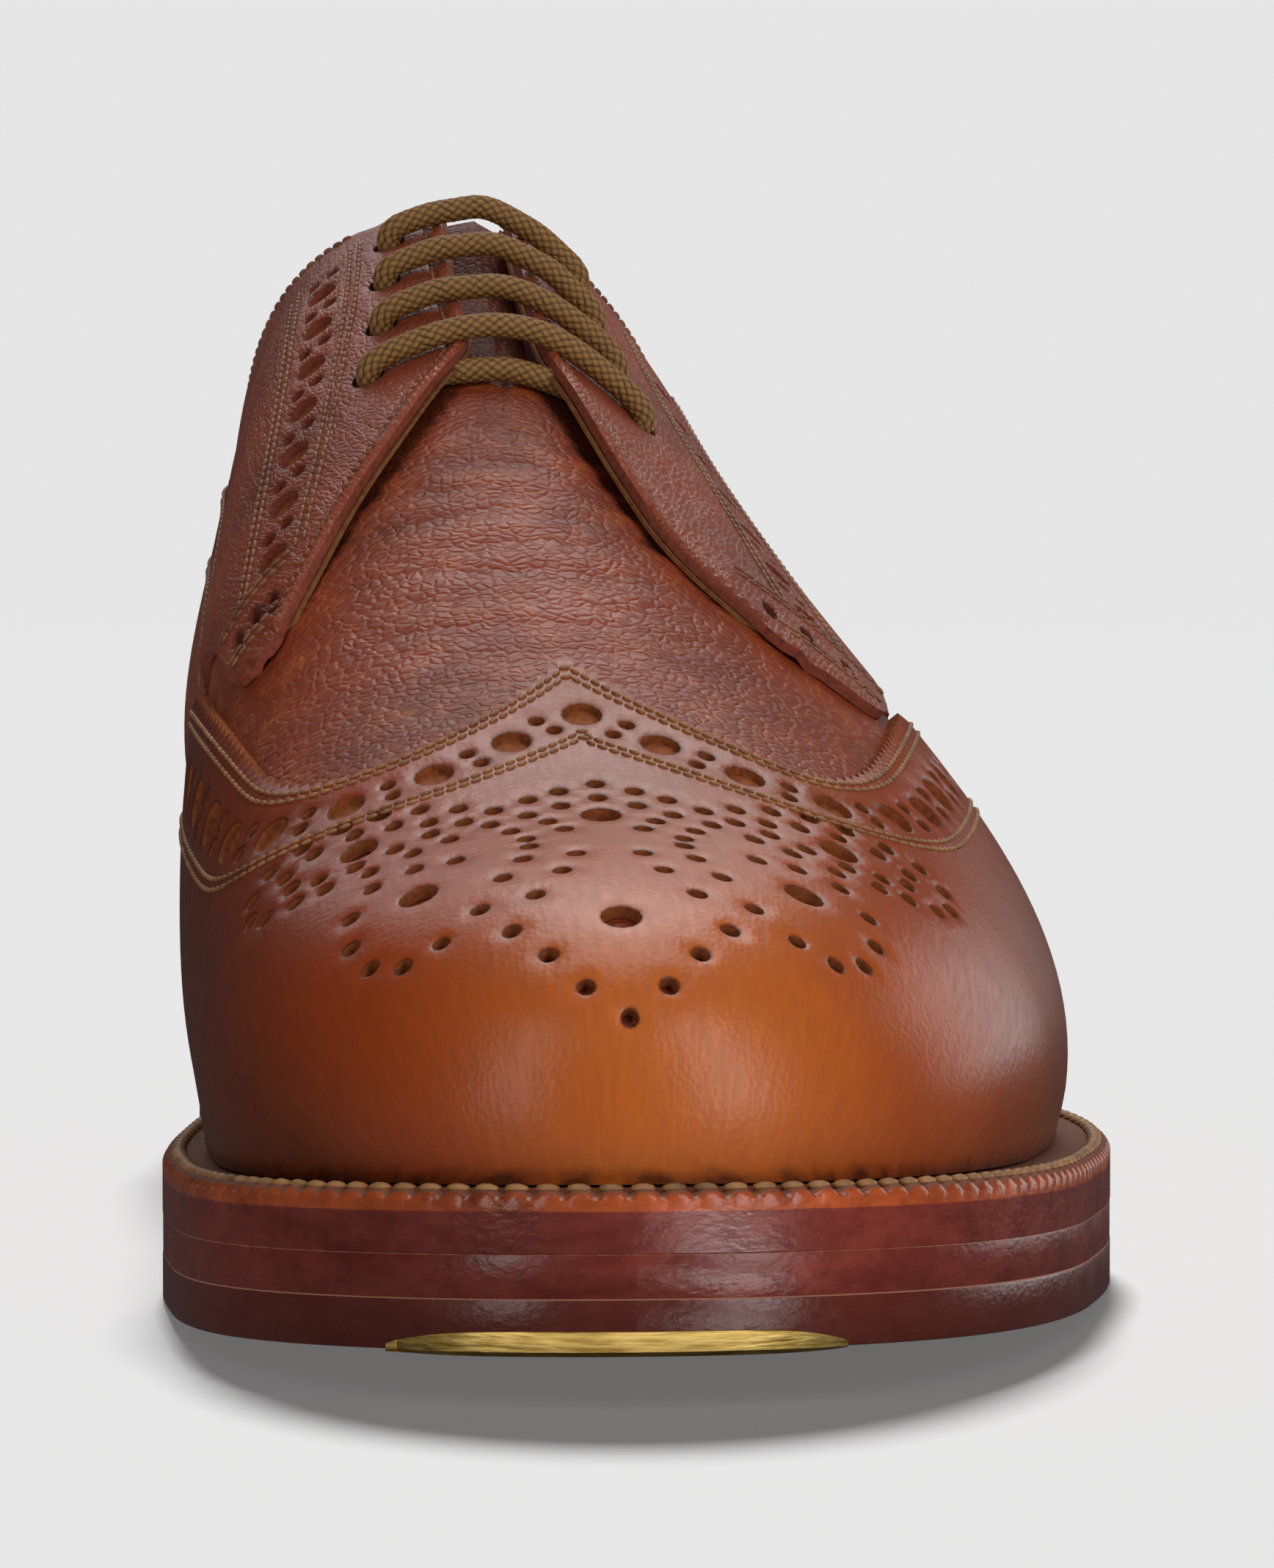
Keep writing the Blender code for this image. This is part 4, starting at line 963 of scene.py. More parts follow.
def circle(radius, count=12):
    """Return points of a flat circle."""
    angle = np.linspace(0, 2 * np.pi, count, endpoint=False)
    return radius * np.column_stack([np.cos(angle), np.sin(angle)])


def right_of(path):
    """Return unit normals to the right of a flat path."""
    along = np.gradient(path, axis=0)
    along /= np.linalg.norm(along, axis=1, keepdims=True)
    return np.column_stack([along[:, 1], -along[:, 0]])


def pinked(path, side=1.0):
    """Return a flat path cut to a zigzag by pinking shears."""
    pitch, depth = millimetres(sizes().pink_pitch), millimetres(sizes().pink_depth)
    points = resample(path, pitch / 2)
    teeth = np.where(np.arange(len(points)) % 2 == 0, 0.5, -0.5)
    return points + right_of(points) * (side * depth * teeth)[:, None]


def band_holes(path):
    """Return centres and diameters of a broguing band along a flat path that starts at a large hole."""
    step = millimetres(sizes().brogue_step)
    large, small = millimetres(sizes().large_hole), millimetres(sizes().small_hole)
    walked = path_lengths(path)
    across = right_of(path)
    holes = []
    for number, u in enumerate(np.arange(0, walked[-1] - step / 4, step / 2)):
        centre = np.array([np.interp(u, walked, path[:, k]) for k in (0, 1)])
        side = np.array([np.interp(u, walked, across[:, k]) for k in (0, 1)])
        if number % 2 == 0:
            holes.append((centre, large))
        else:
            holes += [(centre + side * small * 0.75, small), (centre - side * small * 0.75, small)]
    return holes


def bead(length, width, height):
    """Model one stitch as a small rounded bead and return its points and faces."""
    bpy.ops.object.select_all(action="DESELECT")
    bpy.ops.mesh.primitive_uv_sphere_add(segments=8, ring_count=5, radius=0.5, rotation=(0, math.pi / 2, 0))
    stitch = bpy.context.object
    bpy.ops.object.transform_apply(location=False, rotation=True, scale=False)
    bpy.ops.transform.resize(value=(length, width, height))
    bpy.ops.object.transform_apply(location=False, rotation=False, scale=True)
    points = np.array([v.co for v in stitch.data.vertices])
    faces = [tuple(p.vertices) for p in stitch.data.polygons]
    mesh = stitch.data
    bpy.data.objects.remove(stitch)
    bpy.data.meshes.remove(mesh)
    return points, faces


def stitch_rows(paths, pitch, share, width, height):
    """Copy one stitch along rows given as (points, normals) and return the joined points and faces."""
    unit, unit_faces = bead(pitch * share, width, height)
    points, faces = [], []
    for path, normals in paths:
        spots = resample(np.column_stack([path, normals]), pitch, pitch / 2)
        if len(spots) < 3:
            continue
        centre = spots[:, :3]
        up = spots[:, 3:] / np.linalg.norm(spots[:, 3:], axis=1, keepdims=True)
        along = np.gradient(centre, axis=0)
        along -= up * (along * up).sum(1, keepdims=True)
        along /= np.linalg.norm(along, axis=1, keepdims=True)
        side = np.cross(up, along)
        for c, x, y, z in zip(centre, along, side, up):
            start = len(points) * len(unit)
            points.append(c + unit @ np.stack([x, y, z]))
            faces += [tuple(start + k for k in face) for face in unit_faces]
    return np.concatenate(points), faces


def row_on_skin(a, t, height):
    """Return the points and normals of a line at a height over the wall."""
    return skin(a, t, height), normal(a, t)


def add_overlay_stitches(name, rows, colour):
    pitch = millimetres(sizes().stitch_pitch)
    points, faces = stitch_rows(rows, pitch, 0.88, pitch * 0.38, pitch * 0.36)
    add_piece(name, points, faces, [waxed_thread("linen thread, waxed", colour)], (), None, 60.0)


def half_lines(fine_from=0.0, fine_to=0.0, fine=1.0, plain=3.0):
    """Return walk parameters of one side from toe to heel, with closer lines in one stretch."""
    toe = TOE_S + TOE_ROUND * (1 - np.cos(np.linspace(0, np.pi / 2, 26)))
    heel = HEEL_S - HEEL_ROUND * (1 - np.cos(np.linspace(np.pi / 2, 0, 18)))
    middle = []
    s = toe[-1] + plain
    while s < heel[0] - plain / 2:
        middle.append(s)
        s += fine if fine_from < s < fine_to else plain
    return loop_at(np.concatenate([toe, middle, heel]), 1)


def throat_top(a):
    """Return where each line of the upper ends: at the ridge, at the throat slit or at the topline."""
    st = top_edge(a)[:, 1]
    gap = SLIT * np.sqrt(np.clip((st - THROAT_S) / 10, 0, 1))
    t = np.linspace(0.5, 1, 200)
    x = wall(a[:, None], t[None])[..., 0]
    t_top = np.ones(len(a))
    for i in range(len(a)):
        if THROAT_S + 0.01 < st[i] < TOP_FRONT + 0.5:
            t_top[i] = np.interp(gap[i], np.abs(x[i, ::-1] - RIDGE_X(st[i])), t[::-1])
    return t_top


def crease_depth(a, t):
    """Return how far the walking creases press the vamp in or lift it."""
    flat = pattern(a, t)
    x, s = flat[..., 0] - RIDGE_X(flat[..., 1]), flat[..., 1]
    push = np.zeros(x.shape)
    for middle, bow, depth, width, phase, reach in CREASES:
        line = middle + bow * (x / 30) ** 2 + 0.9 * np.sin(x / 5 + phase) + 0.4 * np.sin(x / 1.9 + 2 * phase)
        d = (s - line) / width
        form = -np.exp(-d * d) + 0.5 * np.exp(-(d - 1.7) ** 2) + 0.5 * np.exp(-(d + 1.7) ** 2)
        push += depth * form * smoothstep((reach - np.abs(x)) / 10)
    return push


def build_upper():
    half = half_lines(88.0, 146.0, 0.8)
    loop = np.concatenate([-half[:0:-1], half[:-1]])
    closed = (station(loop) < TOP_FRONT) & (top_edge(loop)[:, 1] <= THROAT_S + 0.01)
    t = np.linspace(0, 1, 56)[None] * throat_top(loop)[:, None]
    a = np.broadcast_to(loop[:, None], t.shape)
    push = crease_depth(a, t)
    outer = skin(a, t, VAMP_SKIN + push)
    inner = skin(a, t, 0 * a - UPPER_SINK - WALL)
    inner[:, 0, 2] = sole_bottom(inner[:, 0, 1]) + STACK + SEAT
    rows, columns = t.shape
    faces, grids = sheet_faces(rows, columns, ~closed, True)
    picks = [0] * (grids // 2) + [1] * (grids // 2) + [0] * (len(faces) - grids)
    s = station(a)
    # Painted shade: the vamp under each facing and tab is darkened, from the facing's edge out to the tab's
    # outer edge and from the tab's start backwards.
    throat = np.where(a < 0, FACING_EDGE[0](s), FACING_EDGE[1](s))
    reach = np.where(a < 0, tab_reach(s, -1), tab_reach(s, 1))
    distance = length_to_top(a, t)
    under = smoothstep((distance - throat + 2.0) / 2.0) * smoothstep((reach - distance + 1.5) / 2.0)
    under *= smoothstep((s - TAB_START) / 6)
    # crease ridges come a little lighter and crease troughs darker; the darkening under the facings is
    # painted shade
    lay = np.tile(hide_lay(pattern(a, t), np.clip(3 * push, -0.5, 0.5) - under), (2, 1))
    vamp = creased_calf("calf, creased in wear", looks().vamp_dark, looks().vamp_brown, 0.5, 0.9)
    lining = lining_leather("calf lining, vegetable tanned", looks().lining_dark, looks().lining_tan)
    add_piece("creased_vamp_upper", join_grids(outer, inner), faces, [vamp, lining], ["upper"],
              picks, lay=lay)


def wing_band(depth, rim):
    """Return the part of a line that runs inside the wing edge at a depth, split into its two sides."""
    line = rim + right_of(rim) * depth
    side = np.sign(np.arange(len(rim)) - len(rim) // 2)
    kept = (line[:, 0] - RIDGE_X(line[:, 1])) * side >= -0.05
    return line[kept & (side < 0)], line[kept & (side > 0)]


def build_wing():
    rim = wing_edge(420)
    edge_line = pinked(rim)
    reach = loop_at([WING_TAIL], 1)[0]
    feet_a = reach * np.linspace(1, -1, 260)[1:-1]
    feet = pattern(feet_a, 0 * feet_a + 0.01)
    outline = np.concatenate([edge_line, feet])
    large, small = millimetres(sizes().large_hole), millimetres(sizes().medallion_hole)
    left, right = wing_band(millimetres(sizes().band_depth), rim)
    band = band_holes(right) + band_holes(left[::-1])[1:]
    medallion = []
    for table, size in ((MEDALLION_LARGE, large), (MEDALLION_SMALL, small)):
        for d, s in table:
            medallion += [(np.array((TOE_X + side * d, s)), size) for side in ((-1, 1) if d else (1,))]
    foot_line = np.concatenate([feet, feet[:1]])
    kept, backed = [], []
    for centre, size in band + medallion:
        apart = min([np.inf] + [np.linalg.norm(centre - other) - (size + wide) / 2 for other, wide in kept])
        from_foot = np.sqrt(((foot_line - centre) ** 2).sum(1).min())
        if apart > 0.4 and from_foot > size / 2 + 1.5:
            kept.append((centre, size))
            if size == large and len(kept) <= len(band):
                backed.append(centre)
    rims = [centre + circle(size / 2) for centre, size in kept]
    rings = np.concatenate([centre + circle(size / 2 + 0.5) for centre, size in kept])
    shoulder = np.concatenate(wing_band(1.1, rim))
    fixed = np.concatenate([outline] + rims)
    x, y = np.meshgrid(np.arange(-75, 75, 1.9), np.arange(-20, 190, 1.65))
    x = x + 0.95 * (np.arange(len(x)) % 2)[:, None]
    field = np.column_stack([x.ravel(), y.ravel()])
    free = np.concatenate([rings, shoulder[inside_loop(shoulder, outline)]])
    free = free[inside_loop(free, outline) & clear_of(free, fixed, 0.3)]
    field = field[inside_loop(field, outline)]
    field = field[clear_of(field, np.concatenate([fixed, free]), 0.95)]
    in_hole = np.zeros(len(field), bool)
    for centre, size in kept:
        in_hole |= ((field - centre) ** 2).sum(1) < (size / 2 + 0.3) ** 2
    flat = np.concatenate([fixed, free, field[~in_hole]])
    a, t = from_pattern(flat)
    n_edge = len(edge_line)
    a[n_edge:n_edge + len(feet)] = feet_a
    t = np.maximum(t, 0.01)
    top = np.full(len(flat), OVERLAY_HIGH)
    top[:n_edge] -= SHOULDER
    top[len(outline):len(fixed)] -= HOLE_DIP
    rubbed = np.zeros(len(flat))
    rubbed[:n_edge] = 1
    rubbed[n_edge:] -= 2 * smoothstep(1 - side_flat(a, t)[n_edge:, 1] / 4)
    rubbed[len(outline):len(fixed)] = -2
    counts = [len(outline)] + [len(r) for r in rims]
    finishes = [burnished_calf(), raw_edge()]
    add_cut_sheet("wing_cap_punched", a, t, flat, counts, top, np.full(len(flat), OVERLAY_LOW), finishes,
                  ["wing_cap"], rubbed)
    discs = from_pattern(np.concatenate([centre + circle(large / 2 + DISC_WIDER) for centre in backed]))
    add_hole_backing("wing_cap_hole_backing", [part.reshape(len(backed), -1) for part in discs],
                     lambda a, t: np.full(a.shape, OVERLAY_LOW + BACKING))
    rows = []
    for depth in BAND_ROWS:
        line = np.concatenate(wing_band(depth, rim))
        line = line[inside_loop(line, outline)]
        la, lt = from_pattern(resample(line, 1.0))
        rows.append(row_on_skin(la, lt, 0 * la + OVERLAY_HIGH + STITCH_LIFT))
    add_overlay_stitches("wing_cap_stitching", rows, looks().thread)


def stand_off(s, distance, side):
    """Return how far a facing stands off the vamp at a station and a distance from the ridge."""
    from_edge = distance - FACING_EDGE[side > 0](s)
    return STAND(s) * np.clip(1 - from_edge / 16, 0, 1) ** 2 * smoothstep((188 - s) / 2)


def quarter_height(a, t, side):
    """Return the height of a quarter's face: lifted at the throat, rolled at its edge, sunk at the wing."""
    s = station(a)
    distance = length_to_top(a, t)
    front = s < TOP_FRONT + 1
    lift = np.where(front, stand_off(s, distance, side), 0.0)
    to_wing = wing_distance(s, side) - distance
    sink = 1.0 * smoothstep(1 - to_wing / 5) * smoothstep((s - TAB_START - 3) / 8) * (s < WING_TAIL)
    return OVERLAY_HIGH + lift - sink + np.where(front, edge_roll(s, distance, side), 0.0)


def edge_roll(s, distance, side):
    """Return the rolled bead and the stitched groove along a facing edge."""
    d = distance - FACING_EDGE[side > 0](s)
    bead = ROLL * np.exp(-((d - ROLL_AT) / ROLL_WIDE) ** 2)
    return bead - GROOVE * np.exp(-((d - GROOVE_AT) / GROOVE_WIDE) ** 2)


def tab_reach(s, side):
    """Return how far from the ridge a quarter's lower front edge lies: along its tab, then along the wing."""
    tab = np.where(s < TAB[-1][0], TAB_EDGE[side > 0](s), np.inf)
    return np.minimum(wing_distance(s, side) - 0.9, tab)


def quarter_outline(side):
    """Return a and t round one quarter: facing, topline, heel seam, feather edge, wing edge and tab end."""
    which = int(side > 0)
    s = np.arange(TAB_START + 2.5, 186.2, 0.9)
    facing = (loop_at(s, side), t_at_distance(loop_at(s, side), FACING_EDGE[which](s)))
    s = heel_stations(187.8, 1.5, 30)
    top_a = np.minimum(np.abs(loop_at(s, side)), SEAM_A) * side
    collar = (top_a, 0 * top_a + 0.995)
    seam_t = np.linspace(0.98, 0.03, 40)
    seam = (0 * seam_t + side * SEAM_A, seam_t)
    s = heel_stations(WING_TAIL + 3, 2.0, 30)[::-1]
    foot_a = np.minimum(np.abs(loop_at(s, side)), SEAM_A) * side
    foot = (foot_a, 0 * foot_a + FOOT_T)
    s = np.arange(WING_TAIL - 1, TAB_START + 2.4, -1.0)
    lower = t_at_distance(loop_at(s, side), tab_reach(s, side))
    along = (loop_at(s, side), np.maximum(lower, FOOT_T))
    u = np.linspace(1, 0, 12)[1:-1]
    near, far = FACING_EDGE[which](TAB_START + 2.5), tab_reach(TAB_START + 2.5, side)
    s = TAB_START + 2.5 * np.abs(2 * u - 1) ** 3
    end = (loop_at(s, side), t_at_distance(loop_at(s, side), near + (far - near) * u))
    return [np.concatenate([part[k] for part in (facing, collar, seam, foot, along, end)]) for k in (0, 1)]


def surface_rings(spots, wider):
    """Return a and t of rings round holes given as (a, t, diameter, lengthening), one row per hole."""
    a, t, size = np.array([spot[:3] for spot in spots]).T
    longer = np.array([spot[3] if len(spot) > 3 else 1.0 for spot in spots])
    along, up = tangents(a, t)
    along /= np.linalg.norm(along, axis=1, keepdims=True)
    up -= along * (up * along).sum(1, keepdims=True)
    up /= np.linalg.norm(up, axis=1, keepdims=True)
    ring = circle(1.0)[None] * (size / 2 + wider)[:, None, None]
    move = ring[..., :1] * (along * longer[:, None])[:, None] + ring[..., 1:] * up[:, None]
    wide = ring.shape[:2]
    return step_on(np.broadcast_to(a[:, None], wide), np.broadcast_to(t[:, None], wide), move)


def add_side_sheet(name, outline, spots, height, thickness, spacing, finishes, nodes, rows=(),
                   rub=None):
    """Make a cut sheet on the shoe's side from an outline and holes in a and t, with rows of extra points."""
    rims = surface_rings(spots, 0.0)
    rings = surface_rings(spots, 0.5)
    ring_a, ring_t = [np.concatenate([rings[k].ravel()] + [row[k] for row in rows]) for k in (0, 1)]
    fixed_a, fixed_t = [np.concatenate([outline[k], rims[k].ravel()]) for k in (0, 1)]
    flat_outline = side_flat(*outline)
    fixed = side_flat(fixed_a, fixed_t)
    ring_flat = side_flat(ring_a, ring_t)
    clear = inside_loop(ring_flat, flat_outline) & clear_of(ring_flat, fixed, 0.25)
    ring_a, ring_t, ring_flat = ring_a[clear], ring_t[clear], ring_flat[clear]
    low, high = flat_outline.min(0), flat_outline.max(0)
    x, y = np.meshgrid(np.arange(low[0], high[0], spacing), np.arange(low[1], high[1], spacing * 0.87))
    x = x + 0.5 * spacing * (np.arange(len(x)) % 2)[:, None]
    field = np.column_stack([x.ravel(), y.ravel()])
    field = field[inside_loop(field, flat_outline)]
    field = field[clear_of(field, np.concatenate([fixed, ring_flat]), 0.45 * spacing)]
    keep = np.ones(len(field), bool)
    for rim in fixed[len(flat_outline):].reshape(len(spots), -1, 2):
        middle = rim.mean(0)
        keep &= ((field - middle) ** 2).sum(1) > (np.abs(rim - middle).max() + 0.2) ** 2
    field = field[keep]
    field_a, field_t = side_point(field)
    a = np.concatenate([fixed_a, ring_a, field_a])
    t = np.concatenate([fixed_t, ring_t, field_t])
    flat = np.concatenate([fixed, ring_flat, field])
    top = height(a, t)
    bottom = top - thickness
    n_outline = len(outline[0])
    top[:n_outline] -= SHOULDER
    top[n_outline:len(fixed)] -= HOLE_DIP
    counts = [n_outline] + [rims[0].shape[1]] * len(spots)
    rubbed = np.zeros(len(a)) if rub is None else rub(a, t)
    rubbed[n_outline:len(fixed)] = -1
    return add_cut_sheet(name, a, t, flat, counts, top, bottom, finishes, nodes, rubbed)


def strip_path(side, offset=0.0):
    """Return a and t along the punched strip of one facing, moved across it by an offset."""
    s = np.arange(STRIP[0][0], STRIP[-1][0] + 0.5, 1.0)
    a = loop_at(s, side)
    return a, t_at_distance(a, STRIP_DISTANCE[side > 0](s) + offset)


def strip_spots(side):
    """Return a, t and the diameter of the holes along one facing: a large one, then a pair of small ones."""
    step = millimetres(sizes().brogue_step)
    large, small = millimetres(sizes().large_hole), millimetres(sizes().small_hole)
    centre = wall(*strip_path(side))
    walked = path_lengths(centre)
    s_line = station(strip_path(side)[0])
    distance = STRIP_DISTANCE[side > 0]
    spots = []
    for number, u in enumerate(np.arange(2.5, walked[-1] - 3, step / 2)):
        s = np.interp(u, walked, s_line)
        a = loop_at(s, side)
        if number % 2 == 0:
            rows = ((0.0, large * 0.92),)
        else:
            rows = ((small * 0.75, small), (-small * 0.75, small))
        for offset, size in rows:
            spots.append((a, t_at_distance(np.array([a]), [distance(s) + offset])[0], size))
    return spots


def tab_point(s, share, side):
    """Return a and t at a share of the way across a tab, from its facing edge to its outer edge."""
    near, far = FACING_EDGE[side > 0](s), tab_reach(s, side)
    a = loop_at(s, side)
    return a, t_at_distance(a, near + (far - near) * share)


def build_quarters():
    calf = creased_calf("calf, grained and waxed", looks().facing_dark, looks().facing_brown, 0.14, 0.8)
    inked = cut_edge("calf, inked edge", looks().facing_dark, looks().facing_brown)
    tan = cut_edge("facing lining, raw edge", looks().edge_dark, looks().lining_dark)
    eyelet, slot_width = millimetres(sizes().eyelet), millimetres(sizes().small_hole)
    large = 0.9 * millimetres(sizes().large_hole)
    rows = []
    for side, name in ((-1, "quarter_medial"), (1, "quarter_lateral")):
        which = int(side > 0)
        height = lambda a, t, side=side: quarter_height(a, t, side)
        spots = strip_spots(side)
        backed = [spot for spot in spots if spot[2] > large]
        for s, share in TAB_SLOTS:
            a, t = tab_point(np.array([s]), share, side)
            spots.append((a[0], t[0], slot_width, 2.2))
        for bar in BARS:
            a = loop_at(bar[0], side)
            spots.append((a, t_at_distance(np.array([a]), [bar[1 + which]])[0], eyelet))
        edge_s = np.arange(TAB_START + 3, 186, 0.9)
        edge_a = loop_at(edge_s, side)
        closer = [(edge_a, t_at_distance(edge_a, FACING_EDGE[which](edge_s) + d))
                  for d in (0.5, 1.0, 1.6, 2.3, 3.1)]
        rub = lambda a, t, side=side, which=which: 0.45 * (station(a) < TOP_FRONT + 1) * smoothstep(
            2.6 - length_to_top(a, t) + FACING_EDGE[which](station(a)))
        add_side_sheet(name + "_punched", quarter_outline(side), spots, height, OVERLAY_HIGH - OVERLAY_LOW,
                       SIDE_STEP, [calf, inked], [name], closer, rub)
        add_hole_backing(name + "_hole_backing", surface_rings(backed, DISC_WIDER),
                         lambda a, t, height=height: height(a, t) - OVERLAY_HIGH + BACKING)
        rows.append(row_on_skin(*closer[3], height(*closer[3]) + 0.1))
        for offset in (-5.4, -4.1, 4.1, 5.4):
            line = strip_path(side, offset)
            rows.append(row_on_skin(*line, height(*line) + STITCH_LIFT))
        share = np.linspace(0.3, 0.93, 24)
        for s in TAB_BARS:
            line = tab_point(s + TAB_BOW * (1 - (2 * share - 1.1) ** 2), share, side)
            rows.append(row_on_skin(*line, height(*line) + STITCH_LIFT))
        s = heel_stations(190.0, 1.5, 30)
        top_a = np.minimum(np.abs(loop_at(s, side)), 0.997) * side
        for offset in (2.4, 3.7):
            line = top_a, t_at_distance(top_a, 0 * top_a + offset)
            rows.append(row_on_skin(*line, height(*line) + STITCH_LIFT))
        lip_s = np.arange(TAB_START + 3, 185, 0.9)
        lip_a = loop_at(lip_s, side)
        lip = []
        for offset in (-0.4, 1.5, 5.0, 9.0):
            lip_t = t_at_distance(lip_a, FACING_EDGE[which](lip_s) + offset)
            roll = edge_roll(lip_s, length_to_top(lip_a, lip_t), side)
            top = height(lip_a, lip_t) - roll - OVERLAY_HIGH - 0.05
            lip.append((skin(lip_a, lip_t, top), skin(lip_a, lip_t, top - 0.55)))
        outer, inner = [np.stack([row[k] for row in lip], 1) for k in (0, 1)]
        faces, _ = sheet_faces(*outer.shape[:2])
        add_piece(name + "_facing_lining", join_grids(outer, inner), faces, [tan], ())
    add_overlay_stitches("quarter_stitching", rows, looks().facing_thread)


def counter_edge():
    """Return the counter's upper edge on the flat map of the sides, lateral front round to medial front."""
    half = loop_at(heel_stations(COUNTER[0][0], 1.0, 60), 1)
    a = np.concatenate([half, 2 - half[-2::-1]])
    return side_flat(a, t_at_height(a, COUNTER_Z(station(a))))


def build_counter():
    rim = counter_edge()
    edge_line = pinked(rim)
    first, last = np.interp(rim[[0, -1], 0], WALK_LENGTH, WALK_A)
    foot_a = np.linspace(last, first, 150)
    foot = (foot_a, 0 * foot_a + FOOT_T)
    edge_a, edge_t = side_point(edge_line)
    outline = [np.concatenate([edge_a, foot[0]]), np.concatenate([np.maximum(edge_t, 0.02), foot[1]])]
    flat_outline = side_flat(*outline)
    band = rim + right_of(rim) * (sizes().band_depth / MM)
    holes = [(c, d) for c, d in band_holes(band) if inside_loop((c - (0, d))[None], flat_outline)[0]]
    spots = []
    for centre, size in holes:
        a, t = side_point(centre[None])
        spots.append((a[0], t[0], size))
    calf = creased_calf("counter calf, grained and waxed", looks().facing_dark, looks().facing_brown, 0.14,
                        0.8)
    add_side_sheet("heel_counter_punched", outline, spots, lambda a, t: np.full(a.shape, COUNTER_HIGH),
                   COUNTER_HIGH - COUNTER_LOW, SIDE_STEP, [calf, raw_edge()], ["heel_counter"])
    backed = [spot for spot in spots if spot[2] > 3]
    add_hole_backing("heel_counter_hole_backing", surface_rings(backed, DISC_WIDER),
                     lambda a, t: np.full(a.shape, COUNTER_LOW + BACKING))
    rows = []
    for depth in BAND_ROWS:
        line = rim + right_of(rim) * depth
        line = line[inside_loop(line, flat_outline) & (line[:, 1] > 1.0)]
        a, t = side_point(line)
        rows.append(row_on_skin(a, t, 0 * a + COUNTER_HIGH + STITCH_LIFT))
    add_overlay_stitches("heel_counter_stitching", rows, looks().facing_thread)


def across(s, medial, lateral, heights, count):
    """Return points over the ridge at one station from medial to lateral, and their distances from it."""
    g = np.linspace(-medial, lateral, count)
    a = np.where(g < 0, loop_at(s, -1), loop_at(s, 1))
    t = t_at_distance(a, np.abs(g))
    return [skin(a, t, 0 * a + h) for h in heights] + [g]


def build_tongue():
    fine = np.linspace(TONGUE[0][0], TONGUE[-1][0], 40)
    rows = []
    for s, w in zip(fine, spline(TONGUE, 1)(fine)):
        top = 2.4 * smoothstep((s - 172) / 12) - UPPER_SINK - WALL - 0.4
        rows.append(across(s, w, w, (top, top - 1.6), 41))
    outer, inner, distance = [np.stack([row[k] for row in rows]) for k in (0, 1, 2)]
    faces, _ = sheet_faces(*outer.shape[:2])
    flat = np.stack([distance, np.broadcast_to(fine[:, None], distance.shape)], -1)
    # The tongue takes the darkest brown and almost no sheen: painted shade, as it lies in the shadow between
    # the facings.
    calf = creased_calf("tongue calf, grained", looks().soil_and_painted_shade, looks().facing_dark, 0.1, 0.8, 0.1)
    add_piece("padded_tongue", join_grids(outer, inner), faces, [calf], ["tongue"],
              lay=np.tile(hide_lay(flat, 0 * distance), (2, 1)))


def lace_path(s, medial, lateral):
    """Return the line of one lace bar: up out of its eyelet, over the facings and down into the other."""
    radius = millimetres(sizes().lace) / 2
    shares, drop = np.array(LACE_HALF).T
    shares = np.concatenate([shares, -shares[-2::-1]])
    drop = np.concatenate([drop, drop[-2::-1]]) + LACE_CLEAR
    g = shares * np.where(shares < 0, medial, lateral)
    side = np.where(g < 0, -1, 1)
    a = np.where(g < 0, loop_at(s, -1), loop_at(s, 1))
    t = t_at_distance(a, np.abs(g))
    lift = np.where(side < 0, quarter_height(a, t, -1), quarter_height(a, t, 1))
    edge_a = [np.array([loop_at(s, k)]) for k in (-1, 1)]
    edge_lift = max(quarter_height(at, t_at_distance(at, [6.0]), k)[0] for at, k in zip(edge_a, (-1, 1)))
    lift = np.where(np.abs(g) < 7, edge_lift + 0.1, lift)
    points = skin(a, t, lift + drop * radius / 1.6)
    walked = path_lengths(points)
    table = np.column_stack([walked, points])
    u = np.linspace(0, walked[-1], int(walked[-1] / 0.16))
    return np.column_stack([spline(table, k)(u) for k in (1, 2, 3)])


def add_lace(name, path, node):
    """Sweep a braided cord along a path, with the strands raised over gaps; their height also sets the cord's
    painted shade and highlight.
    """
    radius = millimetres(sizes().lace) / 2
    sides = 72
    along = np.gradient(path, axis=0)
    along /= np.linalg.norm(along, axis=1, keepdims=True)
    side = np.cross(along, (0, 1.0, 0.3))
    side /= np.linalg.norm(side, axis=1, keepdims=True)
    up = np.cross(side, along)
    angle = np.linspace(0, 2 * np.pi, sides, endpoint=False)[None]
    walked = path_lengths(path)[:, None]
    turn = walked / millimetres(sizes().braid_pitch)
    left, right = 4 * angle / np.pi + turn, 4 * angle / np.pi - turn
    over = (np.floor(left) + np.floor(right)) % 2 == 0
    across_left, across_right = np.sin(np.pi * (left % 1)), np.sin(np.pi * (right % 1))
    relief = np.where(over, across_left ** 0.5 * (0.7 + 0.3 * across_right),
                      across_right ** 0.5 * (0.7 + 0.3 * across_left))
    r = radius * (0.88 + 0.14 * relief)
    ring = np.cos(angle)[..., None] * side[:, None] + np.sin(angle)[..., None] * up[:, None]
    points = (path[:, None] + r[..., None] * ring).reshape(-1, 3)
    faces = tube_faces(len(path), sides)
    faces.append(tuple(range(sides)))
    faces.append(tuple((len(path) - 1) * sides + k for k in range(sides)))
    return add_piece(name, points, faces, [braided_cord()], [node], None, 70.0, relief.ravel())


def build_laces():
    for number, bar in enumerate(BARS, 1):
        add_lace("braided_lace_bar_%d" % number, lace_path(*bar), "lace_bar_%d" % number)
    path = across(*UNDER_BAR, (1.5,), 110)[0]
    add_lace("braided_lace_under_bar", path, "lace_under_bar")


SOLE_HALF = half_lines(plain=2.0)


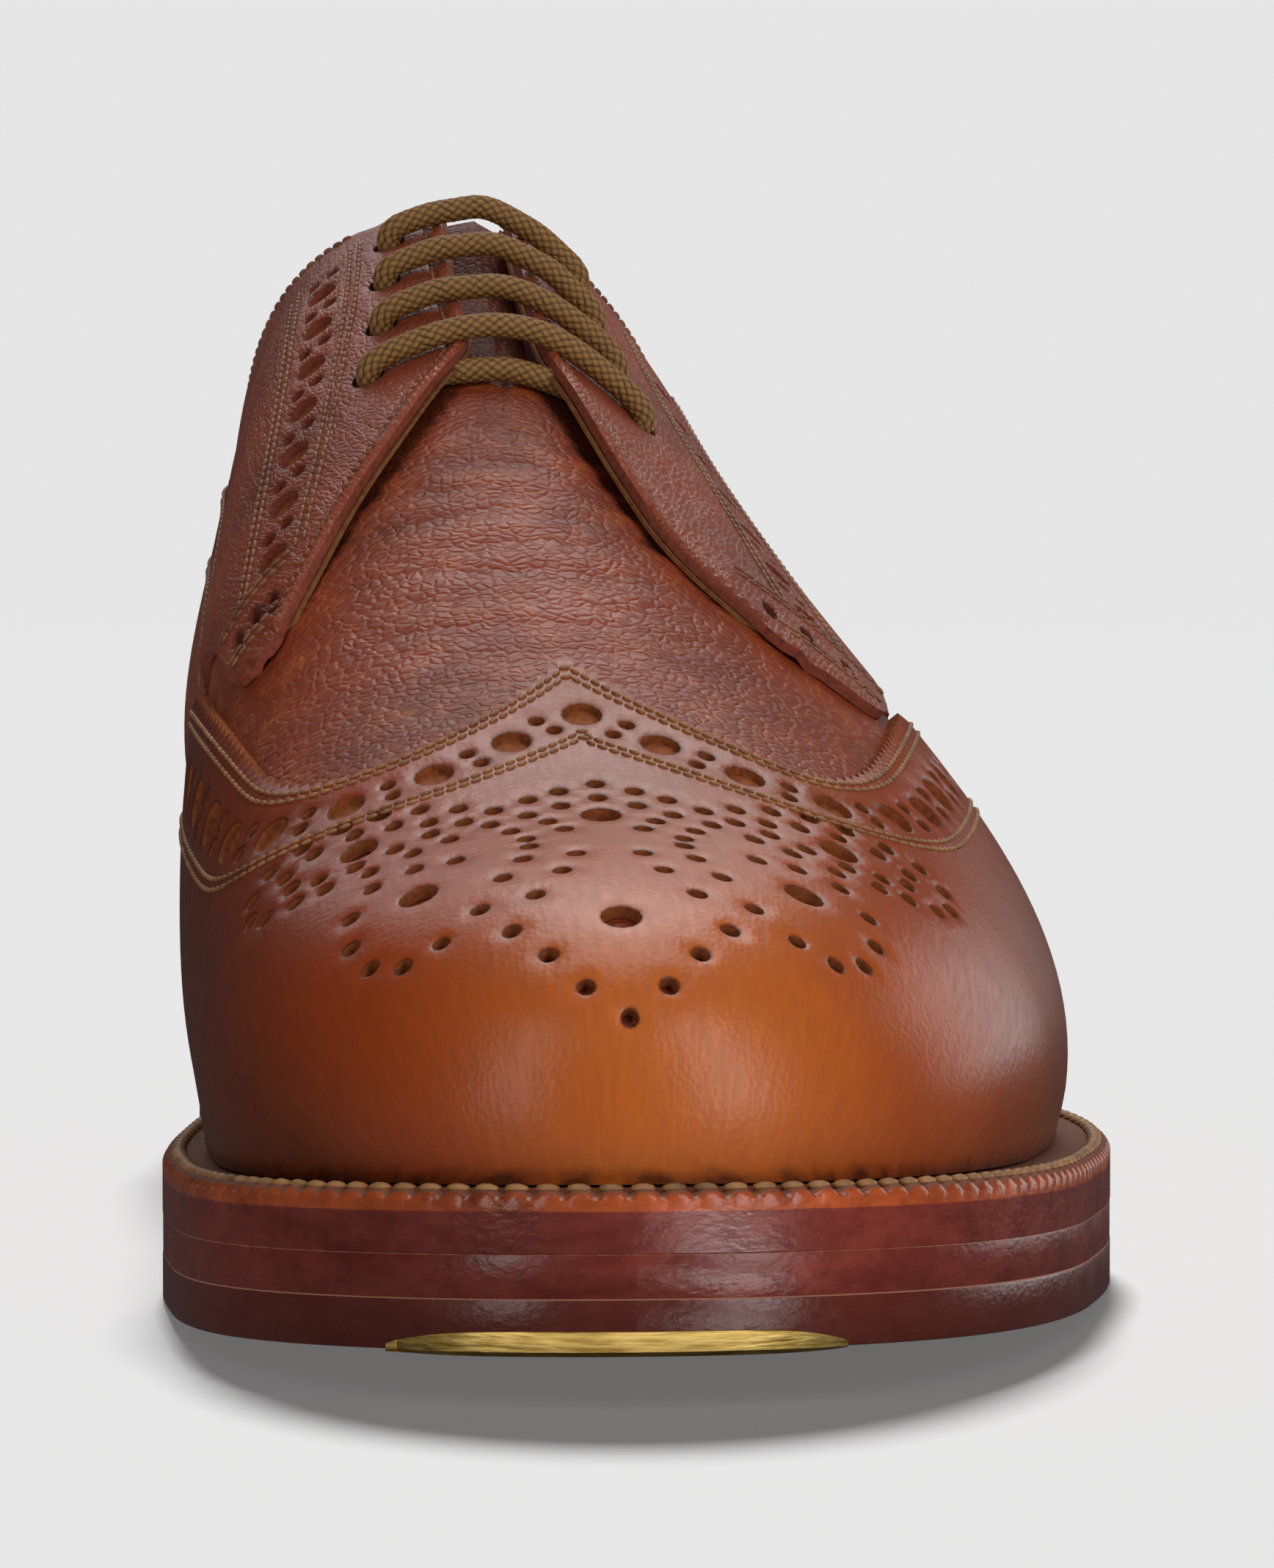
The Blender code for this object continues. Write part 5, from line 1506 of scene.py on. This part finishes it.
def add_layers(name, half, layers, finishes, nodes, square_front=None):
    """Stack plan outlines into one piece; each layer gives its outline function and height function."""
    points = []
    count = len(half)
    for outline, height in layers:
        for side in (-1, 1):
            plan = outline(half * side)
            if square_front is not None:
                plan[0, 1] = square_front
            points.append(np.column_stack([plan, height(plan[:, 1])]))
    ring = 2 * count
    walk = list(range(count)) + [count + i for i in range(count - 1, -1, -1)]
    faces = []
    for number in range(len(layers) - 1):
        for k in range(ring):
            low, high = walk[k], walk[(k + 1) % ring]
            faces.append((number * ring + low, number * ring + high,
                          (number + 1) * ring + high, (number + 1) * ring + low))
    for number in (0, len(layers) - 1):
        faces += [[number * ring + k for k in (i, i + 1, count + i + 1, count + i)] for i in range(count - 1)]
    return add_piece(name, np.concatenate(points), faces, finishes, nodes)


def edge_layers(low, high, corner, inset=0.0):
    """Return outlines of one sole layer with softened upper and lower corners."""
    return [(lambda a, i=i: edge(a, inset + i), lambda s, z=z: sole_bottom(s) + z)
            for i, z in ((corner, low), (0.3 * corner, low + 0.3 * corner), (0, low + corner),
                         (0, high - corner), (0.3 * corner, high - 0.3 * corner), (corner, high))]


def build_soles():
    dark = dressed_sole_edge("sole leather, inked and waxed", looks().sole_dark, looks().sole_warm)
    middle = dressed_sole_edge("midsole leather, inked and waxed", looks().sole_dark, looks().sole_red)
    low, high = OUTSOLE, OUTSOLE + MIDSOLE
    outer, between = edge_layers(0.0, OUTSOLE, 0.35), edge_layers(low, high, 0.12, 0.05)
    add_layers("outsole_trimmed", SOLE_HALF, outer, [dark], ["outsole"])
    add_layers("midsole_trimmed", SOLE_HALF, between, [middle], ["midsole"])
    glue = lining_leather("layer joint, rubbed", looks().joint, looks().joint)
    for name, z in (("lower_layer_joint", low), ("upper_layer_joint", high)):
        rings = [(lambda a, i=i: edge(a, i), lambda s, h=h: sole_bottom(s) + h)
                 for i, h in ((6.0, z - 0.16), (0.1, z - 0.16), (0.1, z + 0.16), (6.0, z + 0.16))]
        add_layers(name, SOLE_HALF, rings, [glue], ())
    tan = lining_leather("sock lining, vegetable tanned", looks().lining_dark, looks().lining_tan)
    rim = WALL + UPPER_SINK + 0.7
    layers = [(lambda a: inside(a, rim), lambda s: sole_bottom(s) + high + SEAT),
              (lambda a: inside(a, rim), lambda s: sole_bottom(s) + STACK + 1.9),
              (lambda a: inside(a, rim + 0.4), lambda s: sole_bottom(s) + STACK + 2.2)]
    add_layers("sock_lined_insole", SOLE_HALF, layers, [tan], ["insole"])


def build_welt():
    """Build the welt with its wheeled rim, and the thick thread that holds it to the sole."""
    pitch = millimetres(sizes().welt_pitch)
    walk = np.linspace(-1, 1, 12001)[:-1]
    length = path_lengths(np.column_stack([edge(walk, 1.8), 0 * walk]))
    stitches = int(round(length[-1] / pitch))
    per = 8
    a = np.interp(np.arange(stitches * per) * length[-1] / (stitches * per), length, walk)
    notch = 0.5 + 0.5 * np.cos(2 * np.pi * np.arange(stitches * per) / per)
    low = OUTSOLE + MIDSOLE
    # inset from the sole edge, height, share of the wheeled notch
    profile = ((6.0, low, 0), (0.15, low, 0), (0.0, low + 0.15, 0), (0.0, STACK - 2.3, 0),
               (0.0, STACK - 1.0, 0.3), (0.4, STACK - 0.35, 0.9), (1.0, STACK, 1.0), (2.4, STACK, 0.8),
               (3.4, STACK - 0.15, 0.1), (5.0, STACK, 0))
    columns = []
    for inset, z, share in profile:
        plan = edge(a, inset + 0.25 * share * notch)
        columns.append(np.column_stack([plan, sole_bottom(plan[:, 1]) + z - 0.55 * share * notch ** 3]))
    plan = inside(a, 5.0)
    for place, z in ((len(columns), STACK), (0, low)):
        columns.insert(place, np.column_stack([plan, sole_bottom(plan[:, 1]) + z]))
    grid = np.stack(columns + columns[:1], 1)
    rows, width = grid.shape[:2]
    faces = grid_faces(rows, width, 0, True)
    finish_of = {2: 1, 3: 1, 4: 2, 5: 2}
    picks = [finish_of.get(k, 0) for _ in range(rows) for k in range(width - 1)]
    top = dressed_sole_edge("welt leather, wheeled", looks().welt_dark, looks().welt_tan, (0.6, 0.75))
    side = dressed_sole_edge("welt edge, inked and waxed", looks().sole_dark, looks().sole_red)
    lip = dressed_sole_edge("welt lip, rubbed", looks().welt_dark, looks().welt_orange)
    piece = add_piece("welt_wheeled", grid.reshape(-1, 3), faces, [top, side, lip], ["welt"],
                      picks)
    bpy.context.view_layer.objects.active = piece
    bpy.ops.object.mode_set(mode="EDIT")
    bpy.ops.mesh.select_all(action="SELECT")
    bpy.ops.mesh.remove_doubles(threshold=1e-7)
    bpy.ops.mesh.normals_make_consistent(inside=False)
    bpy.ops.object.mode_set(mode="OBJECT")
    fine = np.append(a, a[0] + 2)
    plan = edge(fine, 1.9)
    line = np.column_stack([plan, sole_bottom(plan[:, 1]) + STACK + STITCH_LIFT])
    up = np.tile((0.0, 0.0, 1.0), (len(line), 1))
    points, stitch_faces = stitch_rows([(line, up)], length[-1] / stitches, 0.82, 1.9, 1.1)
    thread = waxed_thread("welt thread, waxed", looks().welt_thread)
    add_piece("welt_stitching", points, stitch_faces, [thread], (), None, 60.0)


def build_heel():
    stations = HEEL_S - (HEEL_S - HEEL_BREAST) * (1 - np.sin(np.linspace(0, np.pi / 2, 60)))
    half = loop_at(stations, 1)
    lifts = [(lambda a, i=i: edge(a, i), lambda s, z=z: 0 * s + z) for z, i in HEEL_PROFILE]
    stack = dressed_sole_edge("heel lifts, inked and waxed", looks().sole_dark, looks().sole_red)
    add_layers("heel_lifts", half, lifts, [stack], ["heel_stack"], HEEL_BREAST)
    piece = [(lambda a, i=i: edge(a, i), lambda s, z=z: 0 * s + z)
             for z, i in ((0.0, 2.0), (0.25, 1.6), (0.7, 1.4), (TOP_PIECE - 0.3, 1.4), (TOP_PIECE, 1.7))]
    add_layers("heel_top_piece_moulded", half, piece, [heel_rubber()], ["heel_top_piece"],
               HEEL_BREAST)


def build_toe_plate():
    u = np.sin(np.linspace(-np.pi / 2, np.pi / 2, 60))
    x = PLATE_X + u * PLATE_HALF
    thin = np.tile(1 - 0.7 * u ** 6, 2)
    walk = np.linspace(-0.3, 0.3, 400)
    rings = []
    for out, back, z in ((-0.4, 0.4, -PLATE_PROUD), (0.1, 0.0, -PLATE_PROUD + 0.5),
                         (0.1, 0.0, PLATE_TOP - 0.2), (-0.2, 0.2, PLATE_TOP)):
        near = edge(walk, -out)
        front = np.column_stack([x, np.interp(x, near[:, 0], near[:, 1])])
        rear = np.column_stack([x, 0 * x + PLATE_BACK - back])
        loop = np.concatenate([front, rear[::-1]])
        rings.append(np.column_stack([loop, sole_bottom(loop[:, 1]) + z * thin]))
    count = len(rings[0])
    faces = tube_faces(len(rings), count)
    for level in (0, len(rings) - 1):
        for k in range(count // 2 - 1):
            faces.append([level * count + i for i in (k, k + 1, count - 2 - k, count - 1 - k)])
    add_piece("toe_plate_brushed", np.concatenate(rings), faces, [brushed_brass()], ["toe_plate"],
              None, 30.0)


def add_light(name, place, aim, size, power, shines_on):
    """Add a white softbox, or a far lamp if its size is one angle, that lights one collection alone."""
    far = isinstance(size, float)
    lamp = bpy.data.lights.new(name, "SUN" if far else "AREA")
    if far:
        lamp.angle = size
    else:
        lamp.shape = "RECTANGLE"
        lamp.size, lamp.size_y = size
    lamp.energy = power
    light = bpy.data.objects.new(name, lamp)
    light.location = place
    light.rotation_euler = (Vector(aim) - Vector(place)).to_track_quat("-Z", "Y").to_euler()
    light.light_linking.receiver_collection = shines_on
    bpy.context.scene.collection.objects.link(light)


def build_stage():
    """Sweep grey paper up behind the shoe, with softboxes over and behind it and strips beside the camera."""
    material, tree, shader = new_material("seamless paper", Roughness=0.9, Specular_IOR_Level=0.0,
                                          Emission_Color=looks().paper)
    coords = add_node(tree, "TexCoord", {}).outputs["Object"]
    away = add_node(tree, "VectorMath", {0: coords}, operation="LENGTH").outputs["Value"]
    back = add_node(tree, "MapRange", {"Value": away, "From Min": LIT_FROM, "From Max": LIT_TO},
                    interpolation_type="SMOOTHSTEP")
    glow = add_node(tree, "MapRange", {"Value": back, "To Min": FLOOR_GLOW, "To Max": 1.0})
    shade = add_node(tree, "Mix", {0: back, 6: looks().paper_shade, 7: BLACK}, data_type="RGBA")
    set_inputs(tree, shader, {"Emission Strength": glow, "Base Color": shade.outputs[2]})
    bpy.ops.object.select_all(action="DESELECT")
    bpy.ops.mesh.primitive_plane_add(size=PAPER, location=PAPER_PLACE)
    floor = bpy.context.object
    floor.name = "paper_floor"
    bpy.ops.object.mode_set(mode="EDIT")
    bpy.ops.mesh.select_mode(type="EDGE")
    bpy.ops.mesh.select_all(action="DESELECT")
    bpy.ops.object.mode_set(mode="OBJECT")
    for line in floor.data.edges:
        line.select = all(floor.data.vertices[v].co.y > 0.4 * PAPER for v in line.vertices)
    bpy.ops.object.mode_set(mode="EDIT")
    bpy.ops.mesh.extrude_region_move(TRANSFORM_OT_translate={"value": (0, 0, BACKDROP_TOP)})
    bpy.ops.object.mode_set(mode="OBJECT")
    bend = floor.modifiers.new("sweep", "BEVEL")
    bend.width = SWEEP
    bend.segments = 16
    bpy.ops.object.modifier_apply(modifier=bend.name)
    bpy.ops.object.transform_apply(location=True, rotation=False, scale=False)
    bpy.ops.object.shade_smooth()
    floor.data.materials.append(material)
    floor.visible_glossy = False
    world = bpy.data.worlds.new("studio")
    world.use_nodes = True
    set_inputs(world.node_tree, world.node_tree.nodes["Background"],
               {"Color": looks().paper, "Strength": WORLD_GLOW})
    bpy.context.scene.world = world
    lit = {name: bpy.data.collections.new(name + " alone")
           for name in ("shoe", "paper", "plate", "sole edge")}
    lit["paper"].objects.link(floor)
    lit["plate"].objects.link(bpy.context.scene.objects["toe_plate_brushed"])
    for name in ("outsole_trimmed", "midsole_trimmed", "welt_wheeled"):
        lit["sole edge"].objects.link(bpy.context.scene.objects[name])
    for piece in bpy.context.scene.objects:
        if piece.type == "MESH" and piece != floor:
            lit["shoe"].objects.link(piece)
    for name, place, aim, size, power, shines_on in LAMPS:
        add_light(name, place, aim, size, power, lit[shines_on])
    camera = bpy.data.objects.new("photo camera", bpy.data.cameras.new("photo camera"))
    camera.data.lens = CAMERA_LENS
    camera.data.sensor_width = CAMERA_SENSOR
    camera.location = CAMERA_PLACE
    camera.rotation_euler = Vector(CAMERA_LOOK).to_track_quat("-Z", "Y").to_euler()
    camera.data.clip_start = 0.01
    bpy.context.scene.collection.objects.link(camera)
    bpy.context.scene.camera = camera
    bpy.context.scene.view_settings.view_transform = "Standard"


def length_property(name, description, default):
    return FloatProperty(name=name, description=description, default=default, unit="LENGTH", precision=5)


def colour_property(name, description, default):
    return StringProperty(name=name, description=description + ", as an sRGB hex value", default=default)


class BrogueSizes(bpy.types.PropertyGroup):
    """Sizes of the shoe's decoration and cords."""
    stitch_pitch: length_property("Stitch pitch", "Length of one stitch of the upper with its gap", 0.0016)
    welt_pitch: length_property("Welt stitch pitch", "Length of one welt stitch with its gap", 0.0033)
    pink_pitch: length_property("Pinking pitch", "Distance between two teeth of the pinked edge", 0.0018)
    pink_depth: length_property("Pinking depth", "Depth of a tooth of the pinked edge", 0.0008)
    brogue_step: length_property("Brogue step", "Distance between two large holes of a band", 0.0104)
    band_depth: length_property("Band depth", "Distance of the holes from the pinked edge", 0.0074)
    large_hole: length_property("Large hole", "Diameter of a large punched hole", 0.0046)
    small_hole: length_property("Small hole", "Diameter of a small punched hole in a band", 0.0019)
    medallion_hole: length_property("Medallion hole", "Diameter of a small hole of the toe medallion", 0.0022)
    eyelet: length_property("Eyelet", "Diameter of a punched eyelet", 0.0042)
    lace: length_property("Lace", "Diameter of the lace", 0.0030)
    braid_pitch: length_property("Braid pitch", "Length of one strand crossing of the braid", 0.0014)


class BrogueLooks(bpy.types.PropertyGroup):
    """Colours of the shoe's leathers, threads and metal."""
    toe_tan: colour_property("Toe tan", "Burnished tip of the cap", "#BA5F22")
    toe_cognac: colour_property("Toe cognac", "Middle of the cap", "#A24C1E")
    cap_brown: colour_property("Cap brown", "Back of the cap", "#8A4220")
    cap_red: colour_property("Cap red", "Flanks of the toe", "#8A3210")
    cap_dark: colour_property("Cap dark", "Sides of the cap", "#521C0A")
    vamp_brown: colour_property("Vamp brown", "Vamp leather", "#8A3A1F")
    vamp_dark: colour_property("Vamp dark", "Darker clouds of the vamp", "#662914")
    facing_brown: colour_property("Facing brown", "Facings and quarters", "#8A3F29")
    facing_dark: colour_property("Facing dark", "Darker clouds of the facings", "#682D1D")
    vein: colour_property("Vein", "Worn cracks in the grain", "#B5622F")
    rubbed: colour_property("Rubbed", "Edges and ridges rubbed bare", "#9A4C1E")
    # This darkest brown darkens the punched rims and the cap's foot, and is painted shade under the facing
    # edges and over the whole tongue.
    soil_and_painted_shade: colour_property("Soil", "Wax in the punched rims", "#2E120A")
    edge_tan: colour_property("Edge tan", "Raw cut edges", "#9A5222")
    edge_dark: colour_property("Edge dark", "Soiled cut edges", "#74380F")
    thread: colour_property("Thread", "Stitching of the upper", "#9A6838")
    facing_thread: colour_property("Facing thread", "Stitching of the facings", "#8A5838")
    welt_thread: colour_property("Welt thread", "Stitching of the welt", "#A0703F")
    # The lace's gap and raised colours below are painted shade in the gaps and painted highlight on the
    # raised strands.
    lace_bronze: colour_property("Lace bronze", "Lace strands", "#6C4A22")
    lace_strand_painted_highlight: colour_property("Lace light", "Raised strands", "#946A38")
    lace_gap_painted_shade: colour_property("Lace gap", "Gaps between strands", "#2A180A")
    lining_tan: colour_property("Lining tan", "Lining leather", "#B5814F")
    lining_dark: colour_property("Lining dark", "Rubbed lining", "#8A5C34")
    sole_dark: colour_property("Sole dark", "Inked sole edge", "#4E1B15")
    sole_warm: colour_property("Sole warm", "Lighter clouds of the outsole", "#5C281F")
    sole_red: colour_property("Sole red", "Burgundy sole layers", "#7A3026")
    joint: colour_property("Joint", "Thin line between two sole layers", "#A06A50")
    welt_tan: colour_property("Welt tan", "Top of the welt", "#7E4A2C")
    welt_dark: colour_property("Welt dark", "Soiled welt", "#5E2814")
    welt_orange: colour_property("Welt orange", "Rubbed upper edge of the welt", "#B04E20")
    brass: colour_property("Brass", "Toe plate", "#E2C070")
    brass_dark: colour_property("Brass dark", "Tarnish of the toe plate", "#9A7838")
    paper: colour_property("Paper", "Floor and backdrop", "#E6E6E6")
    paper_shade: colour_property("Paper shade", "What the paper takes from the lamps", "#E1E1E1")


class BROGUE_OT_soles(bpy.types.Operator):
    """Build the outsole, midsole and insole."""
    bl_idname = "brogue.soles"
    bl_label = "Soles"

    def execute(self, context):
        build_soles()
        return {"FINISHED"}


class BROGUE_OT_welt(bpy.types.Operator):
    """Build the wheeled welt and its stitching."""
    bl_idname = "brogue.welt"
    bl_label = "Welt"

    def execute(self, context):
        build_welt()
        return {"FINISHED"}


class BROGUE_OT_heel(bpy.types.Operator):
    """Build the heel lifts and the top piece."""
    bl_idname = "brogue.heel"
    bl_label = "Heel"

    def execute(self, context):
        build_heel()
        return {"FINISHED"}


class BROGUE_OT_toe_plate(bpy.types.Operator):
    """Build the brass toe plate."""
    bl_idname = "brogue.toe_plate"
    bl_label = "Toe plate"

    def execute(self, context):
        build_toe_plate()
        return {"FINISHED"}


class BROGUE_OT_upper(bpy.types.Operator):
    """Build the creased vamp and upper with its lining."""
    bl_idname = "brogue.upper"
    bl_label = "Upper"

    def execute(self, context):
        build_upper()
        return {"FINISHED"}


class BROGUE_OT_wing(bpy.types.Operator):
    """Build the punched wing cap and its stitching."""
    bl_idname = "brogue.wing"
    bl_label = "Wing cap"

    def execute(self, context):
        build_wing()
        return {"FINISHED"}


class BROGUE_OT_quarters(bpy.types.Operator):
    """Build the two quarters with their facings and stitching."""
    bl_idname = "brogue.quarters"
    bl_label = "Quarters"

    def execute(self, context):
        build_quarters()
        return {"FINISHED"}


class BROGUE_OT_counter(bpy.types.Operator):
    """Build the heel counter and its stitching."""
    bl_idname = "brogue.counter"
    bl_label = "Heel counter"

    def execute(self, context):
        build_counter()
        return {"FINISHED"}


class BROGUE_OT_tongue(bpy.types.Operator):
    """Build the tongue."""
    bl_idname = "brogue.tongue"
    bl_label = "Tongue"

    def execute(self, context):
        build_tongue()
        return {"FINISHED"}


class BROGUE_OT_laces(bpy.types.Operator):
    """Build the lace bars."""
    bl_idname = "brogue.laces"
    bl_label = "Laces"

    def execute(self, context):
        build_laces()
        return {"FINISHED"}


class BROGUE_OT_stage(bpy.types.Operator):
    """Set up the paper floor, the lights and the camera."""
    bl_idname = "brogue.stage"
    bl_label = "Stage"

    def execute(self, context):
        build_stage()
        return {"FINISHED"}


OPERATORS = (BROGUE_OT_soles, BROGUE_OT_welt, BROGUE_OT_heel, BROGUE_OT_toe_plate, BROGUE_OT_upper,
             BROGUE_OT_wing, BROGUE_OT_quarters, BROGUE_OT_counter, BROGUE_OT_tongue, BROGUE_OT_laces,
             BROGUE_OT_stage)


class BROGUE_PT_panel(bpy.types.Panel):
    """List the operators that build the shoe."""
    bl_idname = "BROGUE_PT_panel"
    bl_label = "Full Brogue Derby"
    bl_space_type = "VIEW_3D"
    bl_region_type = "UI"
    bl_category = "Brogue"

    def draw(self, context):
        for operator in OPERATORS:
            self.layout.operator(operator.bl_idname)


CLASSES = (BrogueSizes, BrogueLooks) + OPERATORS + (BROGUE_PT_panel,)


def register():
    for cls in CLASSES:
        bpy.utils.register_class(cls)
    bpy.types.Scene.brogue_sizes = PointerProperty(type=BrogueSizes)
    bpy.types.Scene.brogue_looks = PointerProperty(type=BrogueLooks)


def unregister():
    del bpy.types.Scene.brogue_looks
    del bpy.types.Scene.brogue_sizes
    for cls in reversed(CLASSES):
        bpy.utils.unregister_class(cls)


def main():
    register()
    bpy.ops.brogue.soles()
    bpy.ops.brogue.welt()
    bpy.ops.brogue.heel()
    bpy.ops.brogue.toe_plate()
    bpy.ops.brogue.upper()
    bpy.ops.brogue.wing()
    bpy.ops.brogue.quarters()
    bpy.ops.brogue.counter()
    bpy.ops.brogue.tongue()
    bpy.ops.brogue.laces()
    bpy.ops.brogue.stage()


if __name__ == "__main__":
    main()
